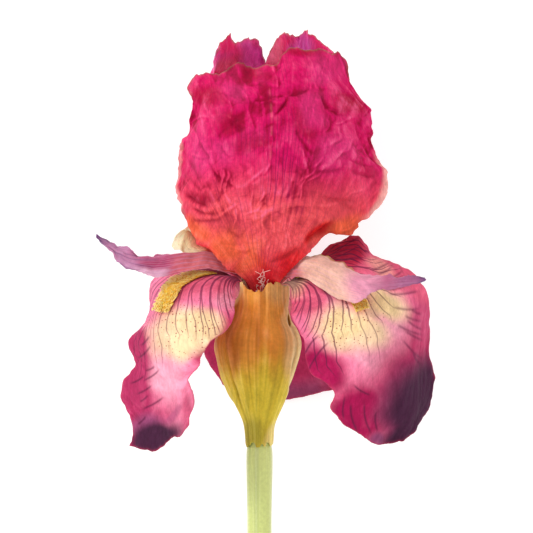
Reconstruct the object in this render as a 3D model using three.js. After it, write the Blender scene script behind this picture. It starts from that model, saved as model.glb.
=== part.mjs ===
// A bearded iris flower, cut on a short stem and laid on its back on a flat surface.
//
// It is drawn in the flower's own frame, in millimetres: +Y runs up the flower's axis from the stem towards the
// standards, +Z is the side of the flower that faces up when it lies down, and the origin is the throat where the
// petals part. The exported group lifts that frame so that the lowest petals rest on z = 0, below the box's centre.
//
// Three falls hang outwards, each with a yellow beard, a stamen and a style arm over it. Three standards close
// above them. Every petal is a thin blade drawn by five ribs that fan out from its narrow claw to its free edge.
import * as THREE from "three";

// ---- Driving dimensions -------------------------------------------------------------------------------------

const AXIS_HEIGHT = 48; // the flower's axis above the surface that it lies on
const PETAL_THICKNESS = 0.8;
const BRACT_THICKNESS = 0.7;
const SEAT_GAP = 0.3; // between pieces that grow together
const CLAW_FOOT = -4.5; // height of every petal's foot on the axis
const TUBE_TOP = CLAW_FOOT - SEAT_GAP;
const TUBE_TOP_RADIUS = 9.3;
const STEM_RADIUS = 4.75;
const STEM_NECK_RADIUS = 4.35; // where the bracts clasp the stem
const STEM_CUT = -150; // the cut end of the stem
const STEM_TOP = -56;
const STEM_LEAN = -0.6; // the stem stands this far to the left of the throat
const BRACT_FOOT = -60.5;
const OVARY_TOP = -38;
const STYLE_COLUMN_RADIUS = 2.8;
const BEARD_CLEARANCE = PETAL_THICKNESS / 2 + SEAT_GAP; // from a fall's middle surface to its beard's underside

const RIB_STEPS = 60; // arc length steps when a rib is measured
const TAU = 2 * Math.PI;

// ---- Colours ------------------------------------------------------------------------------------------------

const finish = (color, roughness) => new THREE.MeshStandardMaterial({ color, roughness, metalness: 0 });

const STANDARD_PINK = finish("#d8286a", 0.55);
const REAR_STANDARD_PINK = finish("#c62a72", 0.55);
const FALL_PINK = finish("#e0638a", 0.5);
const STYLE_MAUVE = finish("#cf8098", 0.55);
const BEARD_YELLOW = finish("#eeb33d", 0.85);
const BRACT_OCHRE = finish("#c58a33", 0.7);
const BRACT_CREAM = finish("#e0b270", 0.7);
const STEM_GREEN = finish("#bfc874", 0.5);
const OVARY_GREEN = finish("#9fae52", 0.5);
const TUBE_CREAM = finish("#dcc88a", 0.5);
const STAMEN_CREAM = finish("#efe2c0", 0.6);

// ---- Ribs: [x, y, z] points from the claw to the free edge ----------------------------------------------------

// The petal turned to the viewer, from its left margin to its right.
const STANDARD_FRONT_RIBS = [
  [[-2.5, -4.5, 4], [-4.5, 0, 7], [-8.5, 4, 12], [-14.5, 7.5, 19], [-18, 12.5, 21], [-23.5, 16, 17], [-27.5, 24, 14],
    [-32, 36, 9], [-30, 47, 9], [-30, 54, 11], [-26.5, 63, 13], [-25.5, 69.5, 15], [-26, 75, 16]],
  [[-0.5, -4.5, 5.5], [-1.5, 0.5, 9], [-4.5, 6.5, 16], [-8.5, 14.5, 23], [-13, 27.5, 28], [-16.5, 43, 31],
    [-17.5, 58, 30], [-16.5, 70.5, 26], [-12.5, 81.5, 20]],
  [[1, -4.5, 6], [1, 1, 10], [1, 7, 17], [2, 17, 25], [2.5, 30, 32], [3.5, 46.5, 36], [4, 63.5, 34], [3, 74.5, 28],
    [2, 82, 21]],
  [[2.5, -4.5, 5.5], [3.5, 0.5, 9.5], [6.5, 6.5, 17.5], [11.5, 15, 24], [16.5, 27.5, 29], [20, 43, 32], [21.5, 58, 31],
    [20, 73.5, 25], [17, 88.5, 18]],
  [[4, -4.5, 4], [6.3, 0, 8.5], [10.3, 4.7, 16], [16, 10.3, 20.5], [20.5, 14.5, 19.5], [25.5, 19, 15], [32.5, 19.5, 10],
    [37.5, 23, 7], [44, 28, 4], [47.5, 36, 2], [47.5, 43.5, 2], [42, 50.5, 5], [41.5, 58.5, 8], [40.2, 67, 9],
    [35, 73, 11], [33, 82, 12]],
];

// Behind on the left, from the margin at the back of the flower round to the one behind the front petal.
const STANDARD_LEFT_RIBS = [
  [[-3.2, -4.5, -5.4], [-4.2, 3, -6.5], [-6, 12, -10], [-5.5, 19, -17], [-2, 24, -27], [2, 31, -36], [4, 42, -43],
    [5, 53, -46.5], [4, 64, -46], [2, 74, -42], [0, 82, -35], [1, 89, -26]],
  [[-3.9, -4.5, -4.6], [-4.8, 2.5, -5.6], [-7.5, 10.5, -9.5], [-11, 18.5, -18], [-13, 27, -29], [-12.5, 38, -40],
    [-11.5, 52, -49], [-9, 65, -49], [-5, 78, -38], [-1.5, 94.5, -21]],
  [[-4.7, -4.5, -3.7], [-5.7, 2, -4.4], [-9, 9, -8.5], [-17, 17, -17], [-24, 27, -25], [-26, 40, -33],
    [-25, 54, -40], [-19, 68, -39], [-10, 82, -28], [-4.5, 94, -15]],
  [[-5.7, -4.5, -2.5], [-6.6, 2, -3], [-10, 9, -5], [-18, 14, -9.5], [-22, 16.5, -12], [-22, 22, -14], [-27.5, 34, -18],
    [-29, 48, -20], [-25.5, 62, -20], [-20, 76, -17], [-14, 88, -12], [-11.5, 95.5, -8]],
  [[-6.7, -4.5, -1.2], [-7.3, 2, -1.6], [-10, 8, -2.5], [-19, 12, -4], [-29, 12.6, -5], [-33.2, 14.8, -6],
    [-32.5, 17.6, -6], [-29, 18.9, -5], [-24.5, 19.4, -3.5], [-22, 24, -1.5], [-25, 36, 1], [-27, 48, 3],
    [-25.2, 60, 5], [-22, 72, 6], [-18.8, 81, 4], [-16, 89, 0]],
];

// Behind on the right, from the margin behind the front petal round to the one at the back of the flower.
const STANDARD_RIGHT_RIBS = [
  [[6.2, -4.5, 0.2], [6.8, 3, 0], [9, 11, -2], [17, 18.5, -4.5], [28, 24, -6.5], [36, 30, -6], [40, 38, -5],
    [40, 47, -4], [38.5, 56, -2], [37, 65, 0], [34, 74, 1], [30.5, 82, 0], [27, 89.5, -3]],
  [[5.9, -4.5, -1], [6.5, 3, -2], [9.5, 12, -5], [18, 21, -11], [27, 30, -17], [32, 41, -23], [33, 54, -27],
    [30, 68, -26], [24, 81, -18], [18, 96.5, -9]],
  [[5.6, -4.5, -2.2], [6.2, 3.5, -4], [9, 13, -9], [14.5, 22, -18], [20, 32, -29], [23.5, 43, -40.5], [24, 54, -50],
    [21.5, 66, -50], [17, 81, -34], [13.5, 96, -17]],
  [[4.9, -4.5, -3.5], [5.5, 4, -6], [7, 13.5, -11], [9.5, 21.5, -19], [12.5, 30.5, -29], [14, 41, -38],
    [14, 54, -44], [12.5, 67, -43], [10, 80, -33], [8, 96.5, -22]],
  [[4.2, -4.5, -4.8], [5.2, 4.5, -6.6], [5.4, 14, -11], [3, 22, -19], [0.5, 29, -27], [-2, 38, -33.5], [-4, 50, -38],
    [-3, 63, -38], [0, 75, -33], [4, 91.5, -25]],
];

// To the left, from the margin towards the viewer to the far one, so that the blade's upper face looks up.
const FALL_LEFT_RIBS = [
  [[-5, -4.5, 7], [-8, 1.2, 8], [-10.2, -1, 14], [-9.7, -8, 21.5], [-10.5, -13, 27], [-13, -16.5, 31], [-19, -21.5, 33],
    [-24.5, -26.5, 33], [-28.5, -34.5, 33], [-26.5, -39.5, 37], [-25.5, -44, 38], [-27, -51.5, 36]],
  [[-5.5, -4.5, 5.5], [-8.5, 2.2, 7.2], [-13, 3, 12.5], [-18, 0, 20], [-22, -6.5, 25], [-25.5, -15, 28],
    [-29.5, -24, 30], [-31.5, -33.5, 31], [-31, -42.5, 32], [-31.5, -56, 29]],
  [[-6, -4.5, 4], [-9, 1.2, 5.5], [-14.5, 3.6, 8.8], [-22, 3.5, 12], [-29, 1.7, 15], [-33, -0.5, 17.5], [-35.5, -5, 19.5],
    [-38, -11, 21], [-39, -18.5, 22], [-38, -27, 23], [-36.5, -37.5, 23], [-36.5, -48.5, 21], [-38, -62, 19]],
  [[-6.5, -4.5, 2.5], [-10, 2, 3], [-16.5, 5.5, 3], [-24, 6, 3], [-31, 5, 5], [-36.5, 1, 8], [-40, -5.5, 11],
    [-42, -14, 13], [-43.5, -22.5, 14], [-42.5, -32, 15], [-43.5, -41.5, 14], [-43, -51, 14], [-43.5, -61.5, 15]],
  [[-7, -4.5, 1], [-11, 1.5, -2], [-17.5, 5.5, -6], [-25, 7.5, -9], [-33.5, 6, -9], [-39.5, 2, -6], [-42.5, -2, -2],
    [-43, -8, 2], [-44.5, -14.5, 4], [-49, -19.5, 3], [-50.5, -23.5, 2], [-47.5, -30, 6], [-52, -37, 3],
    [-53, -41.5, 3], [-50.5, -47.5, 6], [-48.5, -51, 9], [-48.5, -60, 11]],
];

// To the right, from the far margin to the one towards the viewer.
const FALL_RIGHT_RIBS = [
  [[7.3, -4.5, 2.4], [12.5, 1.5, 2], [18, 6, 0], [23, 11, -3], [28, 14.5, -4], [33, 17, -3], [37, 18, 0],
    [40, 15.5, 4], [42.5, 12, 7], [50, 8.5, 9], [57, 4, 12], [61.5, 0, 14], [63.5, -5, 14], [63, -10, 13],
    [63.5, -18, 12], [64.5, -26.5, 11], [65.5, -33, 10], [64.5, -40.5, 12], [63.5, -46, 15]],
  [[6.7, -4.5, 3.8], [11.5, 1.5, 6], [17, 5, 8], [24.5, 7, 11], [32.5, 6.5, 15], [40, 3.5, 20], [46, -2, 25],
    [50, -10, 28], [52, -20.5, 29], [53.5, -31, 29], [54.5, -41, 28], [55, -49.5, 28], [53.5, -57, 29]],
  [[6, -4.5, 5], [10, 0.4, 8.2], [15.5, 2.8, 14], [22, 2.8, 20], [29, 0.2, 25.5], [35, -4.8, 30.5], [38.5, -12, 35],
    [41, -21.5, 37], [42.5, -30.5, 38], [43.5, -40, 38], [44, -50, 37], [43.5, -59, 35]],
  [[5.3, -4.5, 6.2], [8.8, 0.6, 9.4], [13.5, 0.6, 16.5], [18, -1.6, 25], [22.5, -7, 31], [26, -14.5, 36],
    [28.5, -23, 40], [31, -31, 43], [33.5, -39.5, 44], [34.5, -46.5, 44], [36, -53.5, 42]],
  [[4.5, -4.5, 7.3], [8, 0, 9.5], [11, -1, 16], [11.3, -7, 24.5], [11.5, -12, 32], [14, -16.5, 36],
    [16, -20.5, 39], [16.5, -26, 40], [18.5, -32.5, 41], [24, -36, 43], [27.5, -39.5, 45], [26.5, -45, 47],
    [29, -49, 47]],
];

// At the back, lying along the surface, from its left margin to its right.
const FALL_BACK_RIBS = [
  [[-2.5, -4.5, -8], [-7, 1, -11], [-14, 4.5, -17], [-20, 3.5, -26], [-24, -2, -36], [-25, -10, -43],
    [-23, -19, -45], [-23, -26, -46.5], [-19, -33, -46], [-15, -39, -47]],
  [[-1, -4.5, -8.4], [-4, 2, -12], [-8, 6.5, -20], [-11, 6, -31], [-13, 1, -41], [-13, -8, -47], [-12, -18, -48.5],
    [-11, -28, -48.5], [-9, -37, -48], [-6, -44, -47]],
  [[0.7, -4.5, -8.6], [0.5, 2.4, -13], [0.5, 6.3, -21], [0.5, 6.8, -31], [0.5, 3, -40.5], [0.5, -5, -47.5],
    [1, -16, -49], [2, -27, -49], [3, -37, -48.5], [5, -46, -47]],
  [[2.4, -4.5, -8.4], [5, 2, -12], [9, 6.5, -20], [12, 6, -31], [14, 1, -41], [15, -8, -47], [16, -18, -48.5],
    [17, -28, -48.5], [17, -38, -48], [16, -46, -46.5]],
  [[3.9, -4.5, -8], [8.5, 1, -11], [15, 4.5, -17], [21, 3.5, -26], [26, -2, -36], [29, -11, -43], [32, -20, -44],
    [34, -29, -43], [32, -37, -44], [27, -43, -45]],
];

// Style arms: a strap roofed over each fall that ends in a narrow, twisted crest.
const STYLE_ARM_LEFT_RIBS = [
  [[-2, -0.5, 3.5], [-7, 3.5, 8], [-14, 5, 11.5], [-20.5, 6, 15], [-27.5, 5, 19], [-34, 4, 22], [-40.5, 4, 24],
    [-46.5, 5.5, 26], [-50.5, 7, 28], [-53.5, 9.5, 29], [-55, 12, 30], [-58, 14.5, 31], [-61, 17, 31]],
  [[-3, 0.5, 1.4], [-8, 7, 5], [-17, 11.5, 9], [-27.5, 12.3, 14], [-38, 10.5, 19.5], [-45, 10, 23.5], [-51, 11.5, 26],
    [-56.5, 14.5, 28], [-61.5, 17.5, 30]],
  [[-4, -0.5, -0.7], [-9.5, 5.6, 0], [-18, 9.6, 3], [-28, 10.5, 8], [-36, 10.5, 13], [-41.5, 10, 17],
    [-46.5, 11, 20], [-49.5, 14, 22], [-53, 14.5, 24], [-55, 16, 27], [-58, 17.5, 29], [-61, 18.5, 30]],
];
const STYLE_ARM_RIGHT_RIBS = [
  [[3.9, -0.5, 0.2], [10, 6.5, 4], [16.5, 10.5, 8], [22.5, 11, 14], [28, 9.5, 20], [32.5, 7, 26], [37, 4.5, 31],
    [41.5, 4, 35], [46, 4, 37], [49.5, 3, 39], [54.5, 3.5, 41], [60, 3, 43]],
  [[2.5, 0.5, 2], [7.8, 7, 8.5], [13.5, 9, 15.5], [20.5, 8.5, 24], [27.5, 5.5, 32], [34, 2.5, 37.5], [39, 1, 40.5],
    [45, 1, 41], [51.5, 1.5, 42], [60.5, 2, 43.5]],
  [[1.1, -0.5, 3.8], [6.8, 2.6, 9.8], [12, 3.2, 16], [17.5, 2.2, 22.5], [23, -1.4, 28.8], [27.5, -4.5, 33], [32.5, -6, 37],
    [37, -6, 40], [40, -3.5, 41], [44, -1.5, 41.5], [49.5, -1, 42], [54.5, 0, 43], [59.5, 1, 44]],
];
const STYLE_ARM_BACK_RIBS = [
  [[-2, -0.5, -2.8], [-4.4, 5, -8.5], [-6.5, 9.5, -18], [-7.5, 10.5, -28], [-6.5, 8.5, -37], [-4, 9.5, -42], [0, 13.5, -45]],
  [[0.3, 0.5, -3.2], [0.4, 7.5, -9], [0.8, 13, -18], [1.4, 14.5, -28], [2, 12.5, -36], [2.5, 12.5, -41],
    [3, 15, -45]],
  [[2.6, -0.5, -2.8], [4.2, 4, -8.5], [8, 9.5, -18], [9.5, 10.5, -28], [9.5, 8.5, -37], [8, 9.5, -42], [6, 13.5, -45]],
];

// ---- Surfaces -------------------------------------------------------------------------------------------------

const along = (from, to, share) => from + (to - from) * share;
const smoothstep = (low, high, x) => {
  const t = Math.min(Math.max((x - low) / (high - low), 0), 1);
  return t * t * (3 - 2 * t);
};

// A function that gives any point of the blade that a list of ribs spans: across runs from -1 to 1 over the ribs,
// and up from 0 at the claw to 1 at the free edge, by arc length along each rib.
function bladeOf(ribs) {
  const curves = ribs.map((points) => {
    const curve = new THREE.CatmullRomCurve3(points.map((p) => new THREE.Vector3(...p)), false, "centripetal");
    curve.arcLengthDivisions = RIB_STEPS;
    return curve;
  });
  return (across, up) => {
    const row = new THREE.CatmullRomCurve3(curves.map((c) => c.getPointAt(up)), false, "centripetal");
    return row.getPoint((across + 1) / 2);
  };
}

// Points of a surface on an even grid, as rows[j][i], with i running across and j up.
const gridOf = (surface, cells, rows) =>
  Array.from({ length: rows + 1 }, (_, j) =>
    Array.from({ length: cells + 1 }, (_, i) => surface(-1 + (2 * i) / cells, j / rows)));

// The unit normal at each point of a grid, from its neighbours.
function normalsOf(rows) {
  const difference = (a, b) => new THREE.Vector3().subVectors(b, a);
  return rows.map((row, j) =>
    row.map((_, i) => {
      const across = difference(row[Math.max(i - 1, 0)], row[Math.min(i + 1, row.length - 1)]);
      const up = difference(rows[Math.max(j - 1, 0)][i], rows[Math.min(j + 1, rows.length - 1)][i]);
      return across.cross(up).normalize();
    }));
}

const offset = (rows, normals, distance) =>
  rows.map((row, j) => row.map((p, i) => p.clone().addScaledVector(normals[j][i], distance)));

// A closed solid between an upper and a lower grid, which share their rim. Each quad is split the same way on
// both faces, so that a waved blade never crosses itself.
function shell(upper, lower) {
  const rows = upper.length;
  const cells = upper[0].length;
  const position = [...upper.flat(), ...lower.flat()].flatMap((p) => p.toArray());
  const top = (i, j) => j * cells + i;
  const bottom = (i, j) => rows * cells + top(i, j);
  const index = [];
  const quad = (a, b, c, d) => index.push(a, b, c, a, c, d);
  for (let j = 0; j < rows - 1; j++) {
    for (let i = 0; i < cells - 1; i++) {
      quad(top(i, j), top(i + 1, j), top(i + 1, j + 1), top(i, j + 1));
      index.push(bottom(i, j), bottom(i + 1, j + 1), bottom(i + 1, j));
      index.push(bottom(i, j), bottom(i, j + 1), bottom(i + 1, j + 1));
    }
  }
  for (let i = 0; i < cells - 1; i++) {
    quad(bottom(i, 0), bottom(i + 1, 0), top(i + 1, 0), top(i, 0));
    quad(top(i, rows - 1), top(i + 1, rows - 1), bottom(i + 1, rows - 1), bottom(i, rows - 1));
  }
  for (let j = 0; j < rows - 1; j++) {
    quad(top(0, j), top(0, j + 1), bottom(0, j + 1), bottom(0, j));
    quad(bottom(cells - 1, j), bottom(cells - 1, j + 1), top(cells - 1, j + 1), top(cells - 1, j));
  }
  return new THREE.BufferGeometry()
    .setAttribute("position", new THREE.Float32BufferAttribute(position, 3))
    .setIndex(index);
}

// A closed solid from a stack of rings with the same number of points, with a point at the middle of each end.
function ringStack(rings) {
  const sides = rings[0].length;
  const middle = (ring) => ring.reduce((sum, p) => sum.add(p), new THREE.Vector3()).divideScalar(sides);
  const position = [...rings.flat(), middle(rings[0]), middle(rings.at(-1))].flatMap((p) => p.toArray());
  const first = rings.length * sides;
  const index = [];
  for (let i = 0; i < sides; i++) {
    const next = (i + 1) % sides;
    for (let j = 0; j < rings.length - 1; j++) {
      const [a, b] = [j * sides + i, j * sides + next];
      index.push(a, b, b + sides, a, b + sides, a + sides);
    }
    index.push(first, next, i);
    index.push(first + 1, (rings.length - 1) * sides + i, (rings.length - 1) * sides + next);
  }
  return new THREE.BufferGeometry()
    .setAttribute("position", new THREE.Float32BufferAttribute(position, 3))
    .setIndex(index);
}

// ---- Petals ---------------------------------------------------------------------------------------------------

// Waves that a blade's margins stand in: `count` waves up each side, growing from the middle to the margin.
const ruffle = ({ height, count, start }, across, up) =>
  height * Math.abs(across) ** 3 * smoothstep(0.2, 0.5, up) *
  Math.sin(TAU * (count * up + start * Math.sign(across)) + 1.5 * across);

// The middle surface of a petal, waved, and pressed flat where it would reach below the surface that it lies on.
function petalRows({ ribs, cells, rows, waves }) {
  const plain = gridOf(bladeOf(ribs), cells, rows);
  const normals = normalsOf(plain);
  const lowest = -AXIS_HEIGHT + PETAL_THICKNESS / 2;
  return plain.map((row, j) =>
    row.map((p, i) => {
      const waved = p.clone().addScaledVector(normals[j][i], ruffle(waves, -1 + (2 * i) / cells, j / rows));
      waved.z = Math.max(waved.z, lowest);
      return waved;
    }));
}

// A closed blade round a middle surface.
function blade(rows, thickness) {
  const normals = normalsOf(rows);
  return [offset(rows, normals, thickness / 2), offset(rows, normals, -thickness / 2)];
}

// Where a petal lies on the surface it touches it with flat facets, and beside those it is clear of it.
const SURFACE_TOUCH = 0.02;
const SURFACE_CLEARANCE = 0.5;
function laid([one, other]) {
  one.forEach((row, j) => row.forEach((p, i) => {
    const height = Math.min(p.z, other[j][i].z) + AXIS_HEIGHT;
    const lift = height < SURFACE_TOUCH ? -height : Math.max(SURFACE_CLEARANCE - height, 0);
    p.z += lift;
    other[j][i].z += lift;
  }));
  return [one, other];
}

// A petal stands on the tube with the whole of its foot.
function petal(shape) {
  const faces = laid(blade(petalRows(shape), PETAL_THICKNESS));
  for (const face of faces) for (const p of face[0]) p.y = CLAW_FOOT;
  return shell(...faces);
}

const STANDARDS = {
  standard_front: { ribs: STANDARD_FRONT_RIBS, cells: 18, rows: 24, waves: { height: 1.2, count: 5, start: 0.2 } },
  standard_left: { ribs: STANDARD_LEFT_RIBS, cells: 16, rows: 22, waves: { height: 1, count: 5, start: 0.1 } },
  standard_right: { ribs: STANDARD_RIGHT_RIBS, cells: 16, rows: 22, waves: { height: 1, count: 5, start: 0.35 } },
};
const FALLS = {
  fall_left: { ribs: FALL_LEFT_RIBS, cells: 16, rows: 24, waves: { height: 0.8, count: 5, start: 0.3 } },
  fall_right: { ribs: FALL_RIGHT_RIBS, cells: 16, rows: 24, waves: { height: 0.8, count: 5, start: 0.15 } },
  fall_back: { ribs: FALL_BACK_RIBS, cells: 16, rows: 20, waves: { height: 1, count: 4, start: 0.2 } },
};
const STYLE_ARMS = {
  style_arm_left: { ribs: STYLE_ARM_LEFT_RIBS, cells: 8, rows: 20 },
  style_arm_right: { ribs: STYLE_ARM_RIGHT_RIBS, cells: 8, rows: 20 },
  style_arm_back: { ribs: STYLE_ARM_BACK_RIBS, cells: 8, rows: 16 },
};
const styleArm = ({ ribs, cells, rows }) => shell(...blade(gridOf(bladeOf(ribs), cells, rows), PETAL_THICKNESS));

// ---- Beards ---------------------------------------------------------------------------------------------------

// A beard is a strip along the middle of a fall's upper face whose top rises in rows of short, leaning spikes.
const BEARD = {
  halfWidth: 0.17, // as a share of the blade's half width
  cells: 6,
  rows: 28,
  core: 0.7,
  spike: 1.7,
  lean: 0.9,
};
const BEARD_REACH = {
  beard_left: { fall: "fall_left", from: 0.13, to: 0.46 },
  beard_right: { fall: "fall_right", from: 0.13, to: 0.5 },
  beard_back: { fall: "fall_back", from: 0.15, to: 0.4 },
};

// A repeatable number from 0 to 1 for a pair of whole numbers.
const scatter = (i, j) => {
  const x = Math.sin(i * 127.1 + j * 311.7) * 43758.5453;
  return x - Math.floor(x);
};

function beard({ fall, from, to }) {
  const blade = bladeOf(FALLS[fall].ribs);
  const rows = gridOf((s, t) => blade(s * BEARD.halfWidth * Math.sin(Math.PI * along(0.12, 0.7, t)) ** 0.5,
    along(from, to, t)), BEARD.cells, BEARD.rows);
  const normals = normalsOf(rows);
  const lower = offset(rows, normals, BEARD_CLEARANCE);
  const upper = rows.map((row, j) =>
    row.map((p, i) => {
      const inside = i > 0 && i < BEARD.cells && j > 0 && j < BEARD.rows;
      const spiked = inside && (i + j) % 2 === 1;
      const grown = smoothstep(0, 0.3, j / BEARD.rows);
      const rise = BEARD.core + (spiked ? grown * BEARD.spike * along(0.7, 1, scatter(i, j)) : 0);
      const forward = rows[Math.min(j + 1, BEARD.rows)][i].clone().sub(rows[Math.max(j - 1, 0)][i]).normalize();
      return p.clone()
        .addScaledVector(normals[j][i], BEARD_CLEARANCE + (inside ? rise : BEARD.core / 2))
        .addScaledVector(forward, spiked ? BEARD.lean * scatter(j, i) : 0);
    }));
  return shell(upper, lower);
}

// ---- Stem, ovary, tube and bracts -----------------------------------------------------------------------------

// The axis leans from the stem to the throat.
const axisX = (y) => STEM_LEAN * smoothstep(CLAW_FOOT, -45, y);

// Rings round the axis, one for each [height, radius], with `lobes` shallow lobes of a share of the radius.
const axisRings = (profile, sides, lobes = 0, depth = 0) =>
  profile.map(([y, radius]) =>
    Array.from({ length: sides }, (_, i) => {
      const angle = (TAU * i) / sides;
      const r = radius * (1 + depth * Math.cos(lobes * angle));
      return new THREE.Vector3(axisX(y) + r * Math.sin(angle), y, r * Math.cos(angle));
    }));

const stem = () => ringStack(axisRings([
  [STEM_CUT, STEM_RADIUS - 0.3],
  [STEM_CUT + 0.6, STEM_RADIUS],
  [-120, STEM_RADIUS - 0.05],
  [-90, STEM_RADIUS - 0.1],
  [BRACT_FOOT - 1.2, STEM_RADIUS],
  [BRACT_FOOT - 0.4, STEM_NECK_RADIUS],
  [STEM_TOP, STEM_NECK_RADIUS],
], 24));

const ovary = () => ringStack(axisRings([
  [STEM_TOP + SEAT_GAP, 3.6],
  [-53, 4.3],
  [-48, 4.6],
  [-43, 4.4],
  [OVARY_TOP, 3.2],
], 24, 3, 0.06));

const perianthTube = () => ringStack(axisRings([
  [OVARY_TOP + SEAT_GAP, 3.2],
  [-30, 3.4],
  [-20, 4.2],
  [-12, 6],
  [-7.5, 8.4],
  [TUBE_TOP, TUBE_TOP_RADIUS],
], 24));

const styleColumn = () => ringStack(axisRings([
  [CLAW_FOOT, STYLE_COLUMN_RADIUS - 0.3],
  [-2, STYLE_COLUMN_RADIUS - 0.1],
  [0, STYLE_COLUMN_RADIUS],
  [1.6, 1.4],
], 18));

// Half widths of the outer bract, to the side and to the front, at heights from its foot to its tip. The pair
// clasp the stem at the foot, swell round the ovary and close again on the tube.
const BRACT_PROFILE = [
  [5.1, -60.5, 5.1],
  [5.8, -53, 5.8],
  [7.9, -48, 7.6],
  [10.3, -43, 9.3],
  [12.6, -38, 10.6],
  [15.3, -30, 12],
  [16.8, -22.5, 12.9],
  [15.4, -17.5, 12.9],
  [12.6, -13, 12.4],
  [11.4, -8, 12.4],
  [11, -3, 12.8],
  [11, 1.5, 13.2],
].map((p) => new THREE.Vector3(...p));

// One bract: a half shell that turns from one angle to another round the axis (0 faces the viewer), set in from
// the profile, and as long as its crown says. At the foot the pair stand side by side, above it they wrap, and
// they narrow again towards the tip.
function bract({ foot, wrap, tip, inset, crown, cells, rows }) {
  const profile = new THREE.CatmullRomCurve3(BRACT_PROFILE, false, "centripetal");
  const surface = (across, up) => {
    const share = (across + 1) / 2;
    const wrapped = along(along(...foot, share), along(...wrap, share), smoothstep(0.2, 0.5, up));
    const degrees = along(wrapped, along(...tip, share), smoothstep(0.68, 0.95, up));
    const angle = THREE.MathUtils.degToRad(degrees);
    const at = profile.getPoint(up * crown(degrees));
    const inward = inset * smoothstep(0, 0.2, up);
    return new THREE.Vector3(
      axisX(at.y) + (at.x - inward) * Math.sin(angle),
      at.y,
      (at.z - inward) * Math.cos(angle),
    );
  };
  return shell(...blade(gridOf(surface, cells, rows), BRACT_THICKNESS));
}

const BRACTS = {
  bract_outer: {
    foot: [-84, 84], wrap: [-112, 45], tip: [-40, 42], inset: 0, cells: 16, rows: 16,
    crown: (degrees) => 0.92 + 0.07 * smoothstep(-20, -45, degrees) + 0.05 * smoothstep(5, 20, degrees),
  },
  bract_inner: {
    foot: [96, 264], wrap: [33, 262], tip: [85, 230], inset: 1.3, cells: 18, rows: 14,
    crown: () => 0.82,
  },
};

// ---- Stamens --------------------------------------------------------------------------------------------------

// Each stamen stands on the tube and lies close under the keel of a style arm.
const STAMEN = {
  below: 1.8, // from the style arm's middle surface to the stamen's axis
  filament: 0.7,
  anther: 1.3,
  flat: 0.6, // thickness as a share of the width
  rings: 14,
  sides: 6,
};
const STAMEN_SEATS = {
  stamen_left: { arm: "style_arm_left", foot: [-4.1, 0.6], reach: 0.46 },
  stamen_right: { arm: "style_arm_right", foot: [3.9, 2.2], reach: 0.46 },
  stamen_back: { arm: "style_arm_back", foot: [0.4, -4.6], reach: 0.6 },
};

// A flattened rod, thin for the filament and fuller for the anther, which tapers at its tip.
function stamen({ arm, foot, reach }) {
  const { ribs, cells, rows } = STYLE_ARMS[arm];
  const keel = gridOf(bladeOf(ribs), cells, rows);
  const under = offset(keel, normalsOf(keel), -STAMEN.below).map((row) => row[cells / 2]);
  const last = Math.round(reach * rows);
  const start = new THREE.Vector3(foot[0], CLAW_FOOT, foot[1]);
  const path = new THREE.CatmullRomCurve3([start, ...under.slice(2, last)], false, "centripetal");
  const stations = Array.from({ length: STAMEN.rings + 1 }, (_, j) => {
    const t = j / STAMEN.rings;
    const forward = path.getTangentAt(t);
    const side = new THREE.Vector3(0, 1, 0).cross(forward).normalize();
    const over = new THREE.Vector3().crossVectors(forward, side);
    const width = along(STAMEN.filament, STAMEN.anther, smoothstep(0.45, 0.6, t)) * along(1, 0.35, smoothstep(0.9, 1, t));
    return Array.from({ length: STAMEN.sides }, (_, i) => {
      const angle = (TAU * i) / STAMEN.sides;
      return path.getPointAt(t)
        .addScaledVector(side, width * Math.cos(angle))
        .addScaledVector(over, STAMEN.flat * width * Math.sin(angle));
    });
  });
  for (const p of stations[0]) p.y = CLAW_FOOT;
  return ringStack(stations);
}

// ---- The flower -----------------------------------------------------------------------------------------------

function add(group, name, geometry, material) {
  geometry.computeVertexNormals();
  const mesh = new THREE.Mesh(geometry, material);
  mesh.name = name;
  group.add(mesh);
}

const flower = new THREE.Group();
add(flower, "stem", stem(), STEM_GREEN);
add(flower, "ovary", ovary(), OVARY_GREEN);
add(flower, "perianth_tube", perianthTube(), TUBE_CREAM);
add(flower, "style_column", styleColumn(), TUBE_CREAM);
add(flower, "bract_outer", bract(BRACTS.bract_outer), BRACT_OCHRE);
add(flower, "bract_inner", bract(BRACTS.bract_inner), BRACT_CREAM);
for (const [name, shape] of Object.entries(STANDARDS)) {
  add(flower, name, petal(shape), name === "standard_front" ? STANDARD_PINK : REAR_STANDARD_PINK);
}
for (const [name, shape] of Object.entries(FALLS)) add(flower, name, petal(shape), FALL_PINK);
for (const [name, shape] of Object.entries(STYLE_ARMS)) add(flower, name, styleArm(shape), STYLE_MAUVE);
for (const [name, reach] of Object.entries(BEARD_REACH)) add(flower, name, beard(reach), BEARD_YELLOW);
for (const [name, seat] of Object.entries(STAMEN_SEATS)) add(flower, name, stamen(seat), STAMEN_CREAM);

// The part's origin lies on the surface, below the middle of the flower's box.
const middle = new THREE.Box3().setFromObject(flower).getCenter(new THREE.Vector3());
flower.position.set(-middle.x, -middle.y, AXIS_HEIGHT);

const part = new THREE.Group();
part.add(flower);

export default part;
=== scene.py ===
"""A bearded iris flower on its short cut stem, lying on its back on a pale surface.

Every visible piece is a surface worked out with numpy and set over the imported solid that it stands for. Shapes are
drawn in the flower's own frame, in millimetres: +Y runs up the flower's axis, +Z is the side that faces up when it
lies down, and the origin is the throat where the petals part. Petals are blades drawn by ribs that fan out from the
claw to the free edge: "across" (u) runs from -1 to 1 over the ribs and "along" (v) from 0 at the claw to 1 at the
edge. Patches of colour are zones: weights from 0 to 1 at each point, which the piece's material reads.
"""

import math

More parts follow.
